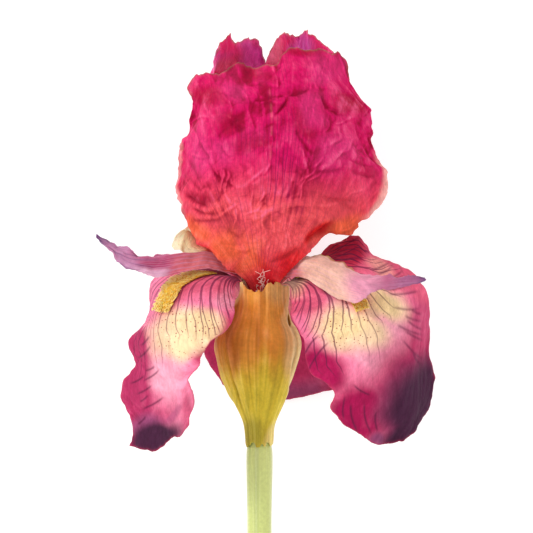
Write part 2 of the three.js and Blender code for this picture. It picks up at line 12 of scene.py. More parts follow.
import bpy
import numpy as np
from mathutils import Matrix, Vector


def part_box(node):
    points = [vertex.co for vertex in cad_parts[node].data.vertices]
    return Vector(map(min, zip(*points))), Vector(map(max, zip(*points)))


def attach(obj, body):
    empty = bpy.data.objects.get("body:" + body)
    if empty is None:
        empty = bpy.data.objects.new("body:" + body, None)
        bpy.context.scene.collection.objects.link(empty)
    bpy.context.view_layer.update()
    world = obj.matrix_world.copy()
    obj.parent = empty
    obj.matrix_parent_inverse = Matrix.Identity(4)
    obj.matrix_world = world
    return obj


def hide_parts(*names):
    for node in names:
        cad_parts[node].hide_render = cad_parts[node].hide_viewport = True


bl_info = {
    "name": "Bearded iris flower",
    "version": (1, 0, 0),
    "blender": (4, 5, 0),
    "location": "View3D > Sidebar > Iris",
    "description": "Builds the looks of a bearded iris flower over its packed solids",
    "category": "Object",
}

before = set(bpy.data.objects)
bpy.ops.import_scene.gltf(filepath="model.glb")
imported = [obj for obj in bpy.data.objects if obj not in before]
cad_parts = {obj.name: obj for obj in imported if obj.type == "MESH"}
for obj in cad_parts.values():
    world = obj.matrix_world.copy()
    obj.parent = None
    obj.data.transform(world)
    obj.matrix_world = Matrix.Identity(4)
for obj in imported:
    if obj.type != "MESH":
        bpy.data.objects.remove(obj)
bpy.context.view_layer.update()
STEM_LOW, STEM_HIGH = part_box("stem")

MM = 0.001
AIM = (2.1, 7.0)  # the point of the flower's plane that the camera looks down on
STEM_LEAN = -0.6  # the stem stands this far to the left of the throat
STEM_CUT = -150.0  # the cut end of the stem
CLAW_FOOT = -4.5  # height of every petal's foot on the axis
# The throat in the frame that all tools share, from the stem's box.
THROAT = np.array([
    (STEM_LOW.x + STEM_HIGH.x) / 2 / MM - STEM_LEAN,
    STEM_LOW.y / MM - STEM_CUT,
    (STEM_LOW.z + STEM_HIGH.z) / 2 / MM,
])
REST = -47.6  # the lowest that a blade's middle reaches where it lies on the surface
TAU = 2 * math.pi

# ---- Ribs: [x, y, z] points from the claw to the free edge, the same as the solids have -------------------------

# The petal turned to the viewer, from its left margin to its right.
STANDARD_FRONT_RIBS = [
    [[-2.5, -4.5, 4], [-4.5, 0, 7], [-8.5, 4, 12], [-14.5, 7.5, 19], [-18, 12.5, 21], [-23.5, 16, 17],
     [-27.5, 24, 14], [-32, 36, 9], [-30, 47, 9], [-30, 54, 11], [-26.5, 63, 13], [-25.5, 69.5, 15], [-26, 75, 16]],
    [[-0.5, -4.5, 5.5], [-1.5, 0.5, 9], [-4.5, 6.5, 16], [-8.5, 14.5, 23], [-13, 27.5, 28], [-16.5, 43, 31],
     [-17.5, 58, 30], [-16.5, 70.5, 26], [-12.5, 81.5, 20]],
    [[1, -4.5, 6], [1, 1, 10], [1, 7, 17], [2, 17, 25], [2.5, 30, 32], [3.5, 46.5, 36], [4, 63.5, 34],
     [3, 74.5, 28], [2, 82, 21]],
    [[2.5, -4.5, 5.5], [3.5, 0.5, 9.5], [6.5, 6.5, 17.5], [11.5, 15, 24], [16.5, 27.5, 29], [20, 43, 32],
     [21.5, 58, 31], [20, 73.5, 25], [17, 88.5, 18]],
    [[4, -4.5, 4], [6.3, 0, 8.5], [10.3, 4.7, 16], [16, 10.3, 20.5], [20.5, 14.5, 19.5], [25.5, 19, 15],
     [32.5, 19.5, 10], [37.5, 23, 7], [44, 28, 4], [47.5, 36, 2], [47.5, 43.5, 2], [42, 50.5, 5], [41.5, 58.5, 8],
     [40.2, 67, 9], [35, 73, 11], [33, 82, 12]],
]

# Behind on the left, from the margin at the back of the flower round to the one behind the front petal.
STANDARD_LEFT_RIBS = [
    [[-3.2, -4.5, -5.4], [-4.2, 3, -6.5], [-6, 12, -10], [-5.5, 19, -17], [-2, 24, -27], [2, 31, -36],
     [4, 42, -43], [5, 53, -46.5], [4, 64, -46], [2, 74, -42], [0, 82, -35], [1, 89, -26]],
    [[-3.9, -4.5, -4.6], [-4.8, 2.5, -5.6], [-7.5, 10.5, -9.5], [-11, 18.5, -18], [-13, 27, -29],
     [-12.5, 38, -40], [-11.5, 52, -49], [-9, 65, -49], [-5, 78, -38], [-1.5, 94.5, -21]],
    [[-4.7, -4.5, -3.7], [-5.7, 2, -4.4], [-9, 9, -8.5], [-17, 17, -17], [-24, 27, -25], [-26, 40, -33],
     [-25, 54, -40], [-19, 68, -39], [-10, 82, -28], [-4.5, 94, -15]],
    [[-5.7, -4.5, -2.5], [-6.6, 2, -3], [-10, 9, -5], [-18, 14, -9.5], [-22, 16.5, -12], [-22, 22, -14],
     [-27.5, 34, -18], [-29, 48, -20], [-25.5, 62, -20], [-20, 76, -17], [-14, 88, -12], [-11.5, 95.5, -8]],
    [[-6.7, -4.5, -1.2], [-7.3, 2, -1.6], [-10, 8, -2.5], [-19, 12, -4], [-29, 12.6, -5], [-33.2, 14.8, -6],
     [-32.5, 17.6, -6], [-29, 18.9, -5], [-24.5, 19.4, -3.5], [-22, 24, -1.5], [-25, 36, 1], [-27, 48, 3],
     [-25.2, 60, 5], [-22, 72, 6], [-18.8, 81, 4], [-16, 89, 0]],
]

# Behind on the right, from the margin behind the front petal round to the one at the back of the flower.
STANDARD_RIGHT_RIBS = [
    [[6.2, -4.5, 0.2], [6.8, 3, 0], [9, 11, -2], [17, 18.5, -4.5], [28, 24, -6.5], [36, 30, -6], [40, 38, -5],
     [40, 47, -4], [38.5, 56, -2], [37, 65, 0], [34, 74, 1], [30.5, 82, 0], [27, 89.5, -3]],
    [[5.9, -4.5, -1], [6.5, 3, -2], [9.5, 12, -5], [18, 21, -11], [27, 30, -17], [32, 41, -23], [33, 54, -27],
     [30, 68, -26], [24, 81, -18], [18, 96.5, -9]],
    [[5.6, -4.5, -2.2], [6.2, 3.5, -4], [9, 13, -9], [14.5, 22, -18], [20, 32, -29], [23.5, 43, -40.5],
     [24, 54, -50], [21.5, 66, -50], [17, 81, -34], [13.5, 96, -17]],
    [[4.9, -4.5, -3.5], [5.5, 4, -6], [7, 13.5, -11], [9.5, 21.5, -19], [12.5, 30.5, -29], [14, 41, -38],
     [14, 54, -44], [12.5, 67, -43], [10, 80, -33], [8, 96.5, -22]],
    [[4.2, -4.5, -4.8], [5.2, 4.5, -6.6], [5.4, 14, -11], [3, 22, -19], [0.5, 29, -27], [-2, 38, -33.5],
     [-4, 50, -38], [-3, 63, -38], [0, 75, -33], [4, 91.5, -25]],
]

# To the left, from the margin towards the viewer to the far one, so that the blade's upper face looks up.
FALL_LEFT_RIBS = [
    [[-5, -4.5, 7], [-8, 1.2, 8], [-10.2, -1, 14], [-9.7, -8, 21.5], [-10.5, -13, 27], [-13, -16.5, 31],
     [-19, -21.5, 33], [-24.5, -26.5, 33], [-28.5, -34.5, 33], [-26.5, -39.5, 37], [-25.5, -44, 38],
     [-27, -51.5, 36]],
    [[-5.5, -4.5, 5.5], [-8.5, 2.2, 7.2], [-13, 3, 12.5], [-18, 0, 20], [-22, -6.5, 25], [-25.5, -15, 28],
     [-29.5, -24, 30], [-31.5, -33.5, 31], [-31, -42.5, 32], [-31.5, -56, 29]],
    [[-6, -4.5, 4], [-9, 1.2, 5.5], [-14.5, 3.6, 8.8], [-22, 3.5, 12], [-29, 1.7, 15], [-33, -0.5, 17.5],
     [-35.5, -5, 19.5], [-38, -11, 21], [-39, -18.5, 22], [-38, -27, 23], [-36.5, -37.5, 23], [-36.5, -48.5, 21],
     [-38, -62, 19]],
    [[-6.5, -4.5, 2.5], [-10, 2, 3], [-16.5, 5.5, 3], [-24, 6, 3], [-31, 5, 5], [-36.5, 1, 8], [-40, -5.5, 11],
     [-42, -14, 13], [-43.5, -22.5, 14], [-42.5, -32, 15], [-43.5, -41.5, 14], [-43, -51, 14], [-43.5, -61.5, 15]],
    [[-7, -4.5, 1], [-11, 1.5, -2], [-17.5, 5.5, -6], [-25, 7.5, -9], [-33.5, 6, -9], [-39.5, 2, -6],
     [-42.5, -2, -2], [-43, -8, 2], [-44.5, -14.5, 4], [-49, -19.5, 3], [-50.5, -23.5, 2], [-47.5, -30, 6],
     [-52, -37, 3], [-53, -41.5, 3], [-50.5, -47.5, 6], [-48.5, -51, 9], [-48.5, -60, 11]],
]

# To the right, from the far margin to the one towards the viewer.
FALL_RIGHT_RIBS = [
    [[7.3, -4.5, 2.4], [12.5, 1.5, 2], [18, 6, 0], [23, 11, -3], [28, 14.5, -4], [33, 17, -3], [37, 18, 0],
     [40, 15.5, 4], [42.5, 12, 7], [50, 8.5, 9], [57, 4, 12], [61.5, 0, 14], [63.5, -5, 14], [63, -10, 13],
     [63.5, -18, 12], [64.5, -26.5, 11], [65.5, -33, 10], [64.5, -40.5, 12], [63.5, -46, 15]],
    [[6.7, -4.5, 3.8], [11.5, 1.5, 6], [17, 5, 8], [24.5, 7, 11], [32.5, 6.5, 15], [40, 3.5, 20], [46, -2, 25],
     [50, -10, 28], [52, -20.5, 29], [53.5, -31, 29], [54.5, -41, 28], [55, -49.5, 28], [53.5, -57, 29]],
    [[6, -4.5, 5], [10, 0.4, 8.2], [15.5, 2.8, 14], [22, 2.8, 20], [29, 0.2, 25.5], [35, -4.8, 30.5],
     [38.5, -12, 35], [41, -21.5, 37], [42.5, -30.5, 38], [43.5, -40, 38], [44, -50, 37], [43.5, -59, 35]],
    [[5.3, -4.5, 6.2], [8.8, 0.6, 9.4], [13.5, 0.6, 16.5], [18, -1.6, 25], [22.5, -7, 31], [26, -14.5, 36],
     [28.5, -23, 40], [31, -31, 43], [33.5, -39.5, 44], [34.5, -46.5, 44], [36, -53.5, 42]],
    [[4.5, -4.5, 7.3], [8, 0, 9.5], [11, -1, 16], [11.3, -7, 24.5], [11.5, -12, 32], [14, -16.5, 36],
     [16, -20.5, 39], [16.5, -26, 40], [18.5, -32.5, 41], [24, -36, 43], [27.5, -39.5, 45], [26.5, -45, 47],
     [29, -49, 47]],
]

# At the back, lying along the surface, from its left margin to its right.
FALL_BACK_RIBS = [
    [[-2.5, -4.5, -8], [-7, 1, -11], [-14, 4.5, -17], [-20, 3.5, -26], [-24, -2, -36], [-25, -10, -43],
     [-23, -19, -45], [-23, -26, -46.5], [-19, -33, -46], [-15, -39, -47]],
    [[-1, -4.5, -8.4], [-4, 2, -12], [-8, 6.5, -20], [-11, 6, -31], [-13, 1, -41], [-13, -8, -47],
     [-12, -18, -48.5], [-11, -28, -48.5], [-9, -37, -48], [-6, -44, -47]],
    [[0.7, -4.5, -8.6], [0.5, 2.4, -13], [0.5, 6.3, -21], [0.5, 6.8, -31], [0.5, 3, -40.5], [0.5, -5, -47.5],
     [1, -16, -49], [2, -27, -49], [3, -37, -48.5], [5, -46, -47]],
    [[2.4, -4.5, -8.4], [5, 2, -12], [9, 6.5, -20], [12, 6, -31], [14, 1, -41], [15, -8, -47], [16, -18, -48.5],
     [17, -28, -48.5], [17, -38, -48], [16, -46, -46.5]],
    [[3.9, -4.5, -8], [8.5, 1, -11], [15, 4.5, -17], [21, 3.5, -26], [26, -2, -36], [29, -11, -43],
     [32, -20, -44], [34, -29, -43], [32, -37, -44], [27, -43, -45]],
]

# Style arms: a strap roofed over each fall that ends in a narrow, twisted crest.
STYLE_ARM_LEFT_RIBS = [
    [[-2, -0.5, 3.5], [-7, 3.5, 8], [-14, 5, 11.5], [-20.5, 6, 15], [-27.5, 5, 19], [-34, 4, 22], [-40.5, 4, 24],
     [-46.5, 5.5, 26], [-50.5, 7, 28], [-53.5, 9.5, 29], [-55, 12, 30], [-58, 14.5, 31], [-61, 17, 31]],
    [[-3, 0.5, 1.4], [-8, 7, 5], [-17, 11.5, 9], [-27.5, 12.3, 14], [-38, 10.5, 19.5], [-45, 10, 23.5],
     [-51, 11.5, 26], [-56.5, 14.5, 28], [-61.5, 17.5, 30]],
    [[-4, -0.5, -0.7], [-9.5, 5.6, 0], [-18, 9.6, 3], [-28, 10.5, 8], [-36, 10.5, 13], [-41.5, 10, 17],
     [-46.5, 11, 20], [-49.5, 14, 22], [-53, 14.5, 24], [-55, 16, 27], [-58, 17.5, 29], [-61, 18.5, 30]],
]
STYLE_ARM_RIGHT_RIBS = [
    [[3.9, -0.5, 0.2], [10, 6.5, 4], [16.5, 10.5, 8], [22.5, 11, 14], [28, 9.5, 20], [32.5, 7, 26], [37, 4.5, 31],
     [41.5, 4, 35], [46, 4, 37], [49.5, 3, 39], [54.5, 3.5, 41], [60, 3, 43]],
    [[2.5, 0.5, 2], [7.8, 7, 8.5], [13.5, 9, 15.5], [20.5, 8.5, 24], [27.5, 5.5, 32], [34, 2.5, 37.5],
     [39, 1, 40.5], [45, 1, 41], [51.5, 1.5, 42], [60.5, 2, 43.5]],
    [[1.1, -0.5, 3.8], [6.8, 2.6, 9.8], [12, 3.2, 16], [17.5, 2.2, 22.5], [23, -1.4, 28.8], [27.5, -4.5, 33],
     [32.5, -6, 37], [37, -6, 40], [40, -3.5, 41], [44, -1.5, 41.5], [49.5, -1, 42], [54.5, 0, 43], [59.5, 1, 44]],
]
STYLE_ARM_BACK_RIBS = [
    [[-2, -0.5, -2.8], [-4.4, 5, -8.5], [-6.5, 9.5, -18], [-7.5, 10.5, -28], [-6.5, 8.5, -37], [-4, 9.5, -42],
     [0, 13.5, -45]],
    [[0.3, 0.5, -3.2], [0.4, 7.5, -9], [0.8, 13, -18], [1.4, 14.5, -28], [2, 12.5, -36], [2.5, 12.5, -41],
     [3, 15, -45]],
    [[2.6, -0.5, -2.8], [4.2, 4, -8.5], [8, 9.5, -18], [9.5, 10.5, -28], [9.5, 8.5, -37], [8, 9.5, -42],
     [6, 13.5, -45]],
]

# Notches of a free edge: how many millimetres longer the blade is at a share across it.
STANDARD_FRONT_TRIM = [
    (-1, 0.5), (-0.9, 3), (-0.8, 2), (-0.7, 0.8), (-0.6, -1.9), (-0.5, -1.1), (-0.45, 0.7), (-0.4, 1.9), (-0.3, 1.9),
    (-0.2, 0.7), (0, 0.4), (0.15, -0.5), (0.2, 1.5), (0.3, 3.4), (0.4, 2.2), (0.5, -0.2), (0.6, 0.7), (0.7, 2),
    (0.8, 1.9), (0.9, 4.5), (1, 2.2),
]
STANDARD_LEFT_TRIM = [
    (-1, 0), (0, 0), (0.1, -1), (0.2, -2.5), (0.3, -3.5), (0.4, -2.4), (0.5, 1), (0.75, 1.8), (1, 0.6),
]
STANDARD_RIGHT_TRIM = [(-1, -0.5), (-0.8, -1.2), (-0.65, 0), (-0.5, 1.2), (-0.3, 0), (1, 0)]
FALL_LEFT_TRIM = [(-1, 0.8), (-0.6, 1.6), (-0.35, -1.2), (-0.1, -1.2), (0.15, 0.4), (0.5, 0.4), (0.8, 0.8), (1, 1.2)]
FALL_RIGHT_TRIM = [(-1, 0.8), (-0.75, 2), (-0.5, 0.8), (-0.2, -0.3), (0.3, 0.6), (0.5, 1.2), (0.75, 2), (1, 2)]
FALL_BACK_TRIM = [(-1, 0), (0, -0.5), (0.4, -1.5), (0.8, -2.6), (1, -2.4)]
# Waves of the margins: the side (-1 or 1) and how many millimetres the blade is wider at a share up it.
STANDARD_FRONT_FLARE = [
    (-1, [(0, 0), (0.4, 0), (0.45, 2), (0.49, 0.6), (0.53, -1.4), (0.57, 0.8), (0.62, 3.2), (0.68, 1.4), (0.73, -0.6),
          (0.77, 0), (0.82, 3.6), (0.87, 1.5), (0.94, -0.3), (0.98, 1.2), (1, 2.2)]),
    (1, [(0, 0), (0.34, 0), (0.4, 1.4), (0.46, 0.6), (0.53, -1.4), (0.58, -1.4), (0.62, 1), (0.67, 3.2), (0.71, 2.6),
         (0.76, -0.8), (0.8, 0), (0.86, 3.2), (0.9, 2), (0.94, -1.2), (1, -0.3)]),
]
STANDARD_LEFT_FLARE = [
    (-1, [(0, 0), (0.86, 0), (0.93, 4), (1, 2.2)]),
    (1, [(0, 0), (0.2, 0), (0.27, 1.8), (0.31, 0.4), (0.35, -2), (0.4, -1.8), (0.44, 0), (0.86, 0), (0.93, -3),
         (1, -0.8)]),
]
STANDARD_RIGHT_FLARE = [(1, [(0, 0), (0.8, 0), (0.88, 1.6), (0.94, 2), (1, 0.5)])]
FALL_LEFT_FLARE = [
    (-1, [(0, 0), (0.55, 0), (0.65, 1.8), (0.71, 5), (0.76, 4.4), (0.82, 1.2), (0.9, 1), (1, 1.6)]),
    (1, [(0, 0), (0.3, 0), (0.38, 2.4), (0.44, 1.6), (0.49, -0.4), (0.54, -1.6), (0.58, 0.6), (0.66, 0.6),
         (0.72, -1.2), (0.77, -1), (0.83, 1.4), (0.9, 0.6), (0.96, -0.8), (1, 1.6)]),
]
FALL_RIGHT_FLARE = [
    (-1, [(0, 0), (0.08, 0), (0.14, 2.4), (0.22, 3.2), (0.28, 2.2), (0.33, 0.8), (0.36, -1.6), (0.4, -0.8),
          (0.44, 0.8), (0.5, 0), (0.62, 0), (0.68, -1.2), (0.75, 0), (0.84, -0.4), (0.9, -1.6), (0.96, 0), (1, 1)]),
    (1, [(0, 0), (0.88, 0), (0.95, 1.8), (1, 2.4)]),
]
STYLE_ARM_LEFT_FLARE = [
    (-1, [(0, 0), (0.5, 0), (0.62, 0.7), (0.85, 0.7), (1, 0)]),
    (1, [(0, 0), (0.45, 0), (0.55, -1.2), (0.7, -2), (0.76, -3), (0.8, -0.6), (1, 0)]),
]
# Fold lines in the flower's plane: start, end, half width and height, in millimetres.
STANDARD_FRONT_CREASES = [
    ((4.5, 62.5), (10.5, 70.8), 0.7, -0.9), ((10, 70.4), (18.8, 73.8), 0.6, -0.7), ((-3, 69), (4.5, 70), 0.5, -0.5),
    ((0.5, 70.7), (9, 71), 0.5, -0.4), ((22.8, 72), (26, 65.2), 0.7, -0.8), ((25.5, 66), (31, 63), 0.7, -0.6),
    ((-22.7, 54), (-18.6, 46.5), 0.6, -0.6), ((-15.2, 52.4), (-11, 46.5), 0.6, -0.5),
    ((-19, 46.7), (-14, 37), 0.6, -0.5), ((-28, 34), (-18, 29), 0.8, -0.9), ((-26.5, 30), (-16, 26), 0.8, -0.8),
    ((-17, 42), (-9, 36), 0.7, -0.5),
    ((-27, 25.5), (-14, 24), 0.8, -0.7), ((33, 43.5), (43, 40.5), 0.8, -1.0), ((31, 48), (42.5, 45), 0.7, -0.6),
    ((19, 42.5), (31.5, 44), 0.7, -0.7), ((22, 33), (37, 31.5), 0.8, -0.9), ((28, 32.5), (36.5, 27.5), 0.7, -0.7),
    ((20.5, 29.5), (31, 31.5), 0.7, 0.6), ((20, 42), (32, 53), 0.7, 0.7), ((25.5, 45.5), (31.5, 51), 0.5, -0.5),
    ((16, 16), (27, 24.5), 1.0, -1.3), ((-13, 21), (-7.5, 17), 0.8, -0.8), ((2, 8), (15, 14.5), 0.9, -1.0),
    ((-10, 74), (-5, 68), 0.6, -0.4), ((12, 60), (20, 48), 0.9, -0.6), ((-12, 62), (-6, 57), 0.8, -0.6),
]

# Dark streaks on the falls' wings, in the flower's plane: start and end in millimetres.
FALL_STREAKS = {"fall_left": [
    ((-45.5, -23), (-41, -18.5)), ((-47, -28), (-40.5, -22)), ((-43.5, -32), (-39, -30)), ((-44.5, -36), (-37, -31)),
    ((-50, -37), (-43, -33.5)), ((-47.5, -41), (-40, -37)), ((-46, -44), (-42, -41)), ((-45.5, -47), (-36, -41)),
    ((-47, -53), (-43, -49)),
], "fall_right": [
    ((44, -1.5), (57, 0.5)), ((47, -3), (60, -2)), ((55, -8), (61, -11)), ((53, -11), (61, -13.5)),
    ((54, -12.5), (61, -17)), ((50, -14), (61, -19)), ((53, -16.5), (61, -21)), ((52, -20), (61, -28)),
    ((31, -40), (31, -50)), ((33, -42), (36, -55)), ((38, -42), (41, -56)), ((43, -46), (43, -55)),
    ((34, -36), (41, -41)), ((22, -18), (15, -27)), ((26, -20), (17, -33)), ((40, 5), (49, 9)), ((43, 3.5), (50, 7.5)),
    ((47, 2.5), (54, 5.5)), ((49, -8), (60, -8.5)), ((56, -24), (61, -31)),
]}

# Patches of colour in the flower's plane, as soft ellipses: centre, radii and turn in degrees.
STANDARD_FRONT_SPOTS = {
    "deep": [((-11.1, 60.5), (4.5, 2.8), -30), ((-3.3, 53), (7, 3.4), 10), ((15.7, 59.8), (7, 3), -50),
             ((33.2, 68), (6.5, 3.2), -15), ((-1, 79.5), (5.5, 2.6), -20), ((15.7, 87), (6, 2.8), 0),
             ((22, 36.7), (3.4, 2.4), 0), ((-19, 69.8), (6, 4), -30), ((-23.4, 33.7), (5, 2.4), -10),
             ((38, 42), (6, 1.8), -8)],
    # light: paler pink patches, partly pigment and partly a painted sheen.
    "light": [((19, 66.1), (5, 7), 0), ((27.7, 50.5), (9, 6), 35), ((-9.7, 71), (5, 4), 0),
              ((-22.7, 50.5), (5, 7), 0), ((24, 81), (7, 5), 0), ((-13.4, 50.5), (5, 5), 0)],
    "throat": [((9, 9), (9, 3.6), 35), ((1, 4), (5.5, 5.5), 0), ((-22, 13), (5, 2.4), 0), ((21, 19), (5, 1.6), 38)],
    "orange": [((-13, 14), (5, 7), 0), ((-23, 21), (7, 4), -15), ((31, 20), (10, 4.5), 15), ((-4, 11), (5, 6), 0)],
}
# The same for the other petals, each with its weight first and its softness last.
STANDARD_REAR_SPOTS = {
    "standard_left": {
        "lobe": [(1, (-30.5, 15), (9, 7), 0, 0.35)],
        "lilac": [(1, (-4, 87), (6, 6)), (0.5, (-13, 84), (4, 5))], "tab": [(0.7, (-12, 80), (4, 6), -20)],
        "deep": [(0.7, (-6, 90), (2.5, 8), 35)],
    },
    "standard_right": {
        "lilac": [(1, (16, 91), (4, 5))], "tab": [(1, (5.6, 89), (3.5, 5))],
        "deep": [(0.9, (11, 91), (3, 5)), (0.4, (25, 89), (6, 4))],
    },
}
FALL_SPOTS = {
    "fall_left": {
        "cream": [(1, (-27.5, -17), (12.5, 8), -8, 0.4), (1, (-31.5, -21), (8, 7.5), 0, 0.4)],
        "gold": [(0.45, (-23, -15), (9, 5), -8), (0.45, (-28, -22), (5, 5))],
        "light": [(1, (-35, -32), (7, 9)), (0.8, (-14, -6), (5, 4)), (0.3, (-30, -44), (5, 8))],
        "wing": [(0.7, (-38, -49), (6, 4), 30)],
        "deep": [(0.6, (-28, -48), (3, 8))],
        "mauve": [(1, (-43, -53), (8, 4.5), 15, 0.6), (0.5, (-34, -49), (1.5, 5), -30)],
        "plum": [(1, (-40.5, -58.5), (11, 6.5), 22, 0.3)],
        "specked": [(1, (-28, -17), (14, 12), -15)],
    },
    "fall_right": {
        "cream": [(1, (32, -16), (11.5, 9), -12, 0.45), (1, (47.5, -6.5), (8, 5), -30, 0.6),
                  (1, (40, -19), (8, 6)), (0.8, (40, -9), (6, 5)), (0.35, (45, 6), (6, 3.5), -30),
                  (1, (10, 0.5), (7, 4))],
        "gold": [(0.7, (31, -15), (9, 5)), (0.7, (45, -6), (7, 4), -30)],
        # light: a painted highlight along the ridge of the blade, spread wide as painted light over the side turned
        # from the lamp.
        "light": [(1, (48, -20), (8, 12)), (1, (41, -27), (7, 4.5), -10), (0.8, (36, -8), (8, 4))],
        "deep": [(1, (21.5, -31), (11, 7), -30, 0.4), (1, (36, -47), (12, 12), 0, 0.4),
                 (0.9, (60, -44), (20, 24), 0, 0.35)],
        "maroon": [(1, (31, 13), (9, 5.5), 10, 0.35)],
        "mauve": [(1, (42.5, -58), (3, 3)), (0.6, (63, -48), (18, 19), 0, 0.4)],
        "plum": [(1, (64, -48), (18, 20), 0, 0.35), (1, (53, -57), (9, 7), 30)],
        "specked": [(1, (33, -14), (14, 11))],
    },
    "fall_back": {"cream": [(1, (1, -2), (9, 12))]},
}

# The outer bract's half widths to the side and to the front at heights from its foot to its tip: [side, y, front].
BRACT_PROFILE = [
    [5.1, -60.5, 5.1], [5.8, -53, 5.8], [7.9, -48, 7.6], [10.3, -43, 9.3], [12.6, -38, 10.6], [15.3, -30, 12],
    [16.8, -22.5, 12.9], [15.4, -17.5, 12.9], [12.6, -13, 12.4], [11.4, -8, 12.4], [11, -3, 12.8], [11, 1.5, 13.2],
]


# ---- Numbers --------------------------------------------------------------------------------------------------

def linear(text):
    """The linear RGBA of an sRGB hex colour, by the sRGB transfer curve."""
    shares = [int(text[i:i + 2], 16) / 255 for i in (1, 3, 5)]
    return (*[s / 12.92 if s <= 0.04045 else ((s + 0.055) / 1.055) ** 2.4 for s in shares], 1.0)


def ease(low, high, x):
    """A smoothstep: 3t^2 - 2t^3, where t is x's share of the way from low to high, held between 0 and 1."""
    t = np.clip((x - low) / (high - low), 0, 1)
    return t * t * (3 - 2 * t)


def band(rise, full, fall, end, x):
    """1 from full to fall, easing in from rise and out to end."""
    return ease(rise, full, x) * ease(end, fall, x)


def scatter(i, j, seed=0.0):
    """A repeatable number from 0 to 1 for a pair of whole numbers: the fraction of a large sine."""
    x = np.sin(i * 127.1 + j * 311.7 + seed * 74.7) * 43758.5453
    return x - np.floor(x)


def noise(x, y, seed=0.0):
    """Smooth noise from -1 to 1: scattered values at whole points, mixed between them by a smoothstep."""
    i, j = np.floor(x), np.floor(y)
    s, t = ease(0, 1, x - i), ease(0, 1, y - j)
    low = scatter(i, j, seed) * (1 - s) + scatter(i + 1, j, seed) * s
    high = scatter(i, j + 1, seed) * (1 - s) + scatter(i + 1, j + 1, seed) * s
    return 2 * (low * (1 - t) + high * t) - 1


def spot(x, y, centre, radii, turn=0.0, soft=0.5):
    """A soft ellipse in the flower's plane: 1 inside, falling by a smoothstep where the distance from the centre,
    counted in radii, passes 1. turn is in degrees."""
    c, s = math.cos(math.radians(turn)), math.sin(math.radians(turn))
    a = ((x - centre[0]) * c + (y - centre[1]) * s) / radii[0]
    b = ((y - centre[1]) * c - (x - centre[0]) * s) / radii[1]
    return 1 - ease(1 - soft, 1 + soft, np.hypot(a, b))


def spots(x, y, rows):
    """The greatest, point by point, of several soft ellipses, each given by its weight and spot's own values."""
    return np.max([weight * spot(x, y, *ellipse) for weight, *ellipse in rows], axis=0)


def spline(points, t):
    """Centripetal Catmull-Rom curve through points (along the first axis) at shares t from 0 to 1. Each span is the
    cubic whose end slopes come from knots set apart by the square root of each chord; past both ends the points
    are mirrored."""
    points = np.asarray(points, float)
    last = len(points) - 1
    span = np.minimum((np.asarray(t) * last).astype(int), last - 1)
    w = (np.asarray(t) * last - span).reshape(-1, *[1] * (points.ndim - 1))
    padded = np.concatenate([2 * points[:1] - points[1:2], points, 2 * points[-1:] - points[-2:-1]])
    p0, p1, p2, p3 = (padded[span + k] for k in range(4))
    g0, g1, g2 = (np.sum((b - a) ** 2, axis=-1, keepdims=True) ** 0.25 for a, b in ((p0, p1), (p1, p2), (p2, p3)))
    g1 = np.where(g1 < 1e-4, 1, g1)
    g0, g2 = np.where(g0 < 1e-4, g1, g0), np.where(g2 < 1e-4, g1, g2)
    m1 = ((p1 - p0) / g0 - (p2 - p0) / (g0 + g1) + (p2 - p1) / g1) * g1
    m2 = ((p2 - p1) / g1 - (p3 - p1) / (g1 + g2) + (p3 - p2) / g2) * g1
    return p1 + m1 * w + (3 * (p2 - p1) - 2 * m1 - m2) * w ** 2 + (2 * (p1 - p2) + m1 + m2) * w ** 3


def by_length(points, shares):
    """Points of the curve through points at shares of its arc length, which is measured over 400 chords."""
    t = np.linspace(0, 1, 401)
    chords = np.linalg.norm(np.diff(spline(points, t), axis=0), axis=-1)
    length = np.concatenate([[0], np.cumsum(chords)])
    return spline(points, np.interp(np.asarray(shares) * length[-1], length, t))


def net(ribs, across, along):
    """The grid [along, across] of a blade: each rib at shares of its length, then a curve across the ribs."""
    rungs = np.stack([by_length(rib, along) for rib in ribs])
    return np.swapaxes(spline(rungs, (np.asarray(across) + 1) / 2), 0, 1)


def unit(vectors):
    """Each vector divided by its length."""
    return vectors / np.maximum(np.linalg.norm(vectors, axis=-1, keepdims=True), 1e-9)


def normals(grid):
    """Unit normals of a grid: the cross product of its steps across and along."""
    return unit(np.cross(np.gradient(grid, axis=1), np.gradient(grid, axis=0)))


def crumple(across, along, seed, turns=((15, 10), (9, 55), (8, -40), (5, 20), (4, -65), (3, 40), (2.4, -15))):
    """Height and painted shading, from about -1 to 1, of a crumpled blade, from positions in millimetres; the
    shading is laid into the colour as painted shade in the valleys and a painted highlight on the crests. Each layer
    is noise of one size, longer along one direction than across it. Its zero line is a sharp crest for every other
    layer and a sharp valley for the rest, (1 - |noise|)^5, between broad slopes of the noise itself."""
    a = across + 3 * noise(across / 13, along / 17, seed + 1)
    b = along + 3 * noise(across / 11, along / 15, seed + 2)
    height, shade = 0.0, 0.0
    for k, (size, turn) in enumerate(turns):
        c, s = math.cos(math.radians(turn)), math.sin(math.radians(turn))
        layer = noise((a * c + b * s) / size, (b * c - a * s) / (1.9 * size), seed + 3 + k)
        sharp = (1 - np.abs(layer)) ** 5 * (1 if k % 2 else -1)
        height = height + (layer + 0.8 * sharp) * (size + 1) / 30
        shade = shade + (0.5 * layer + sharp) * 0.27
    return height, shade


def crease(x, y, start, end, width):
    """A fold line from start to end in the flower's plane: a bell curve of the distance to it, fading at its ends."""
    start, end = np.array(start, float), np.array(end, float)
    run = end - start
    reach = np.hypot(*run)
    share = ((x - start[0]) * run[0] + (y - start[1]) * run[1]) / reach ** 2
    aside = ((x - start[0]) * run[1] - (y - start[1]) * run[0]) / reach
    bow = aside - 0.06 * reach * np.sin(math.pi * np.clip(share, 0, 1))
    fade = ease(0, 0.25, share) * (1 - ease(0.75, 1, share))
    return np.exp(-(bow / width) ** 2) * fade


# ---- Meshes ---------------------------------------------------------------------------------------------------

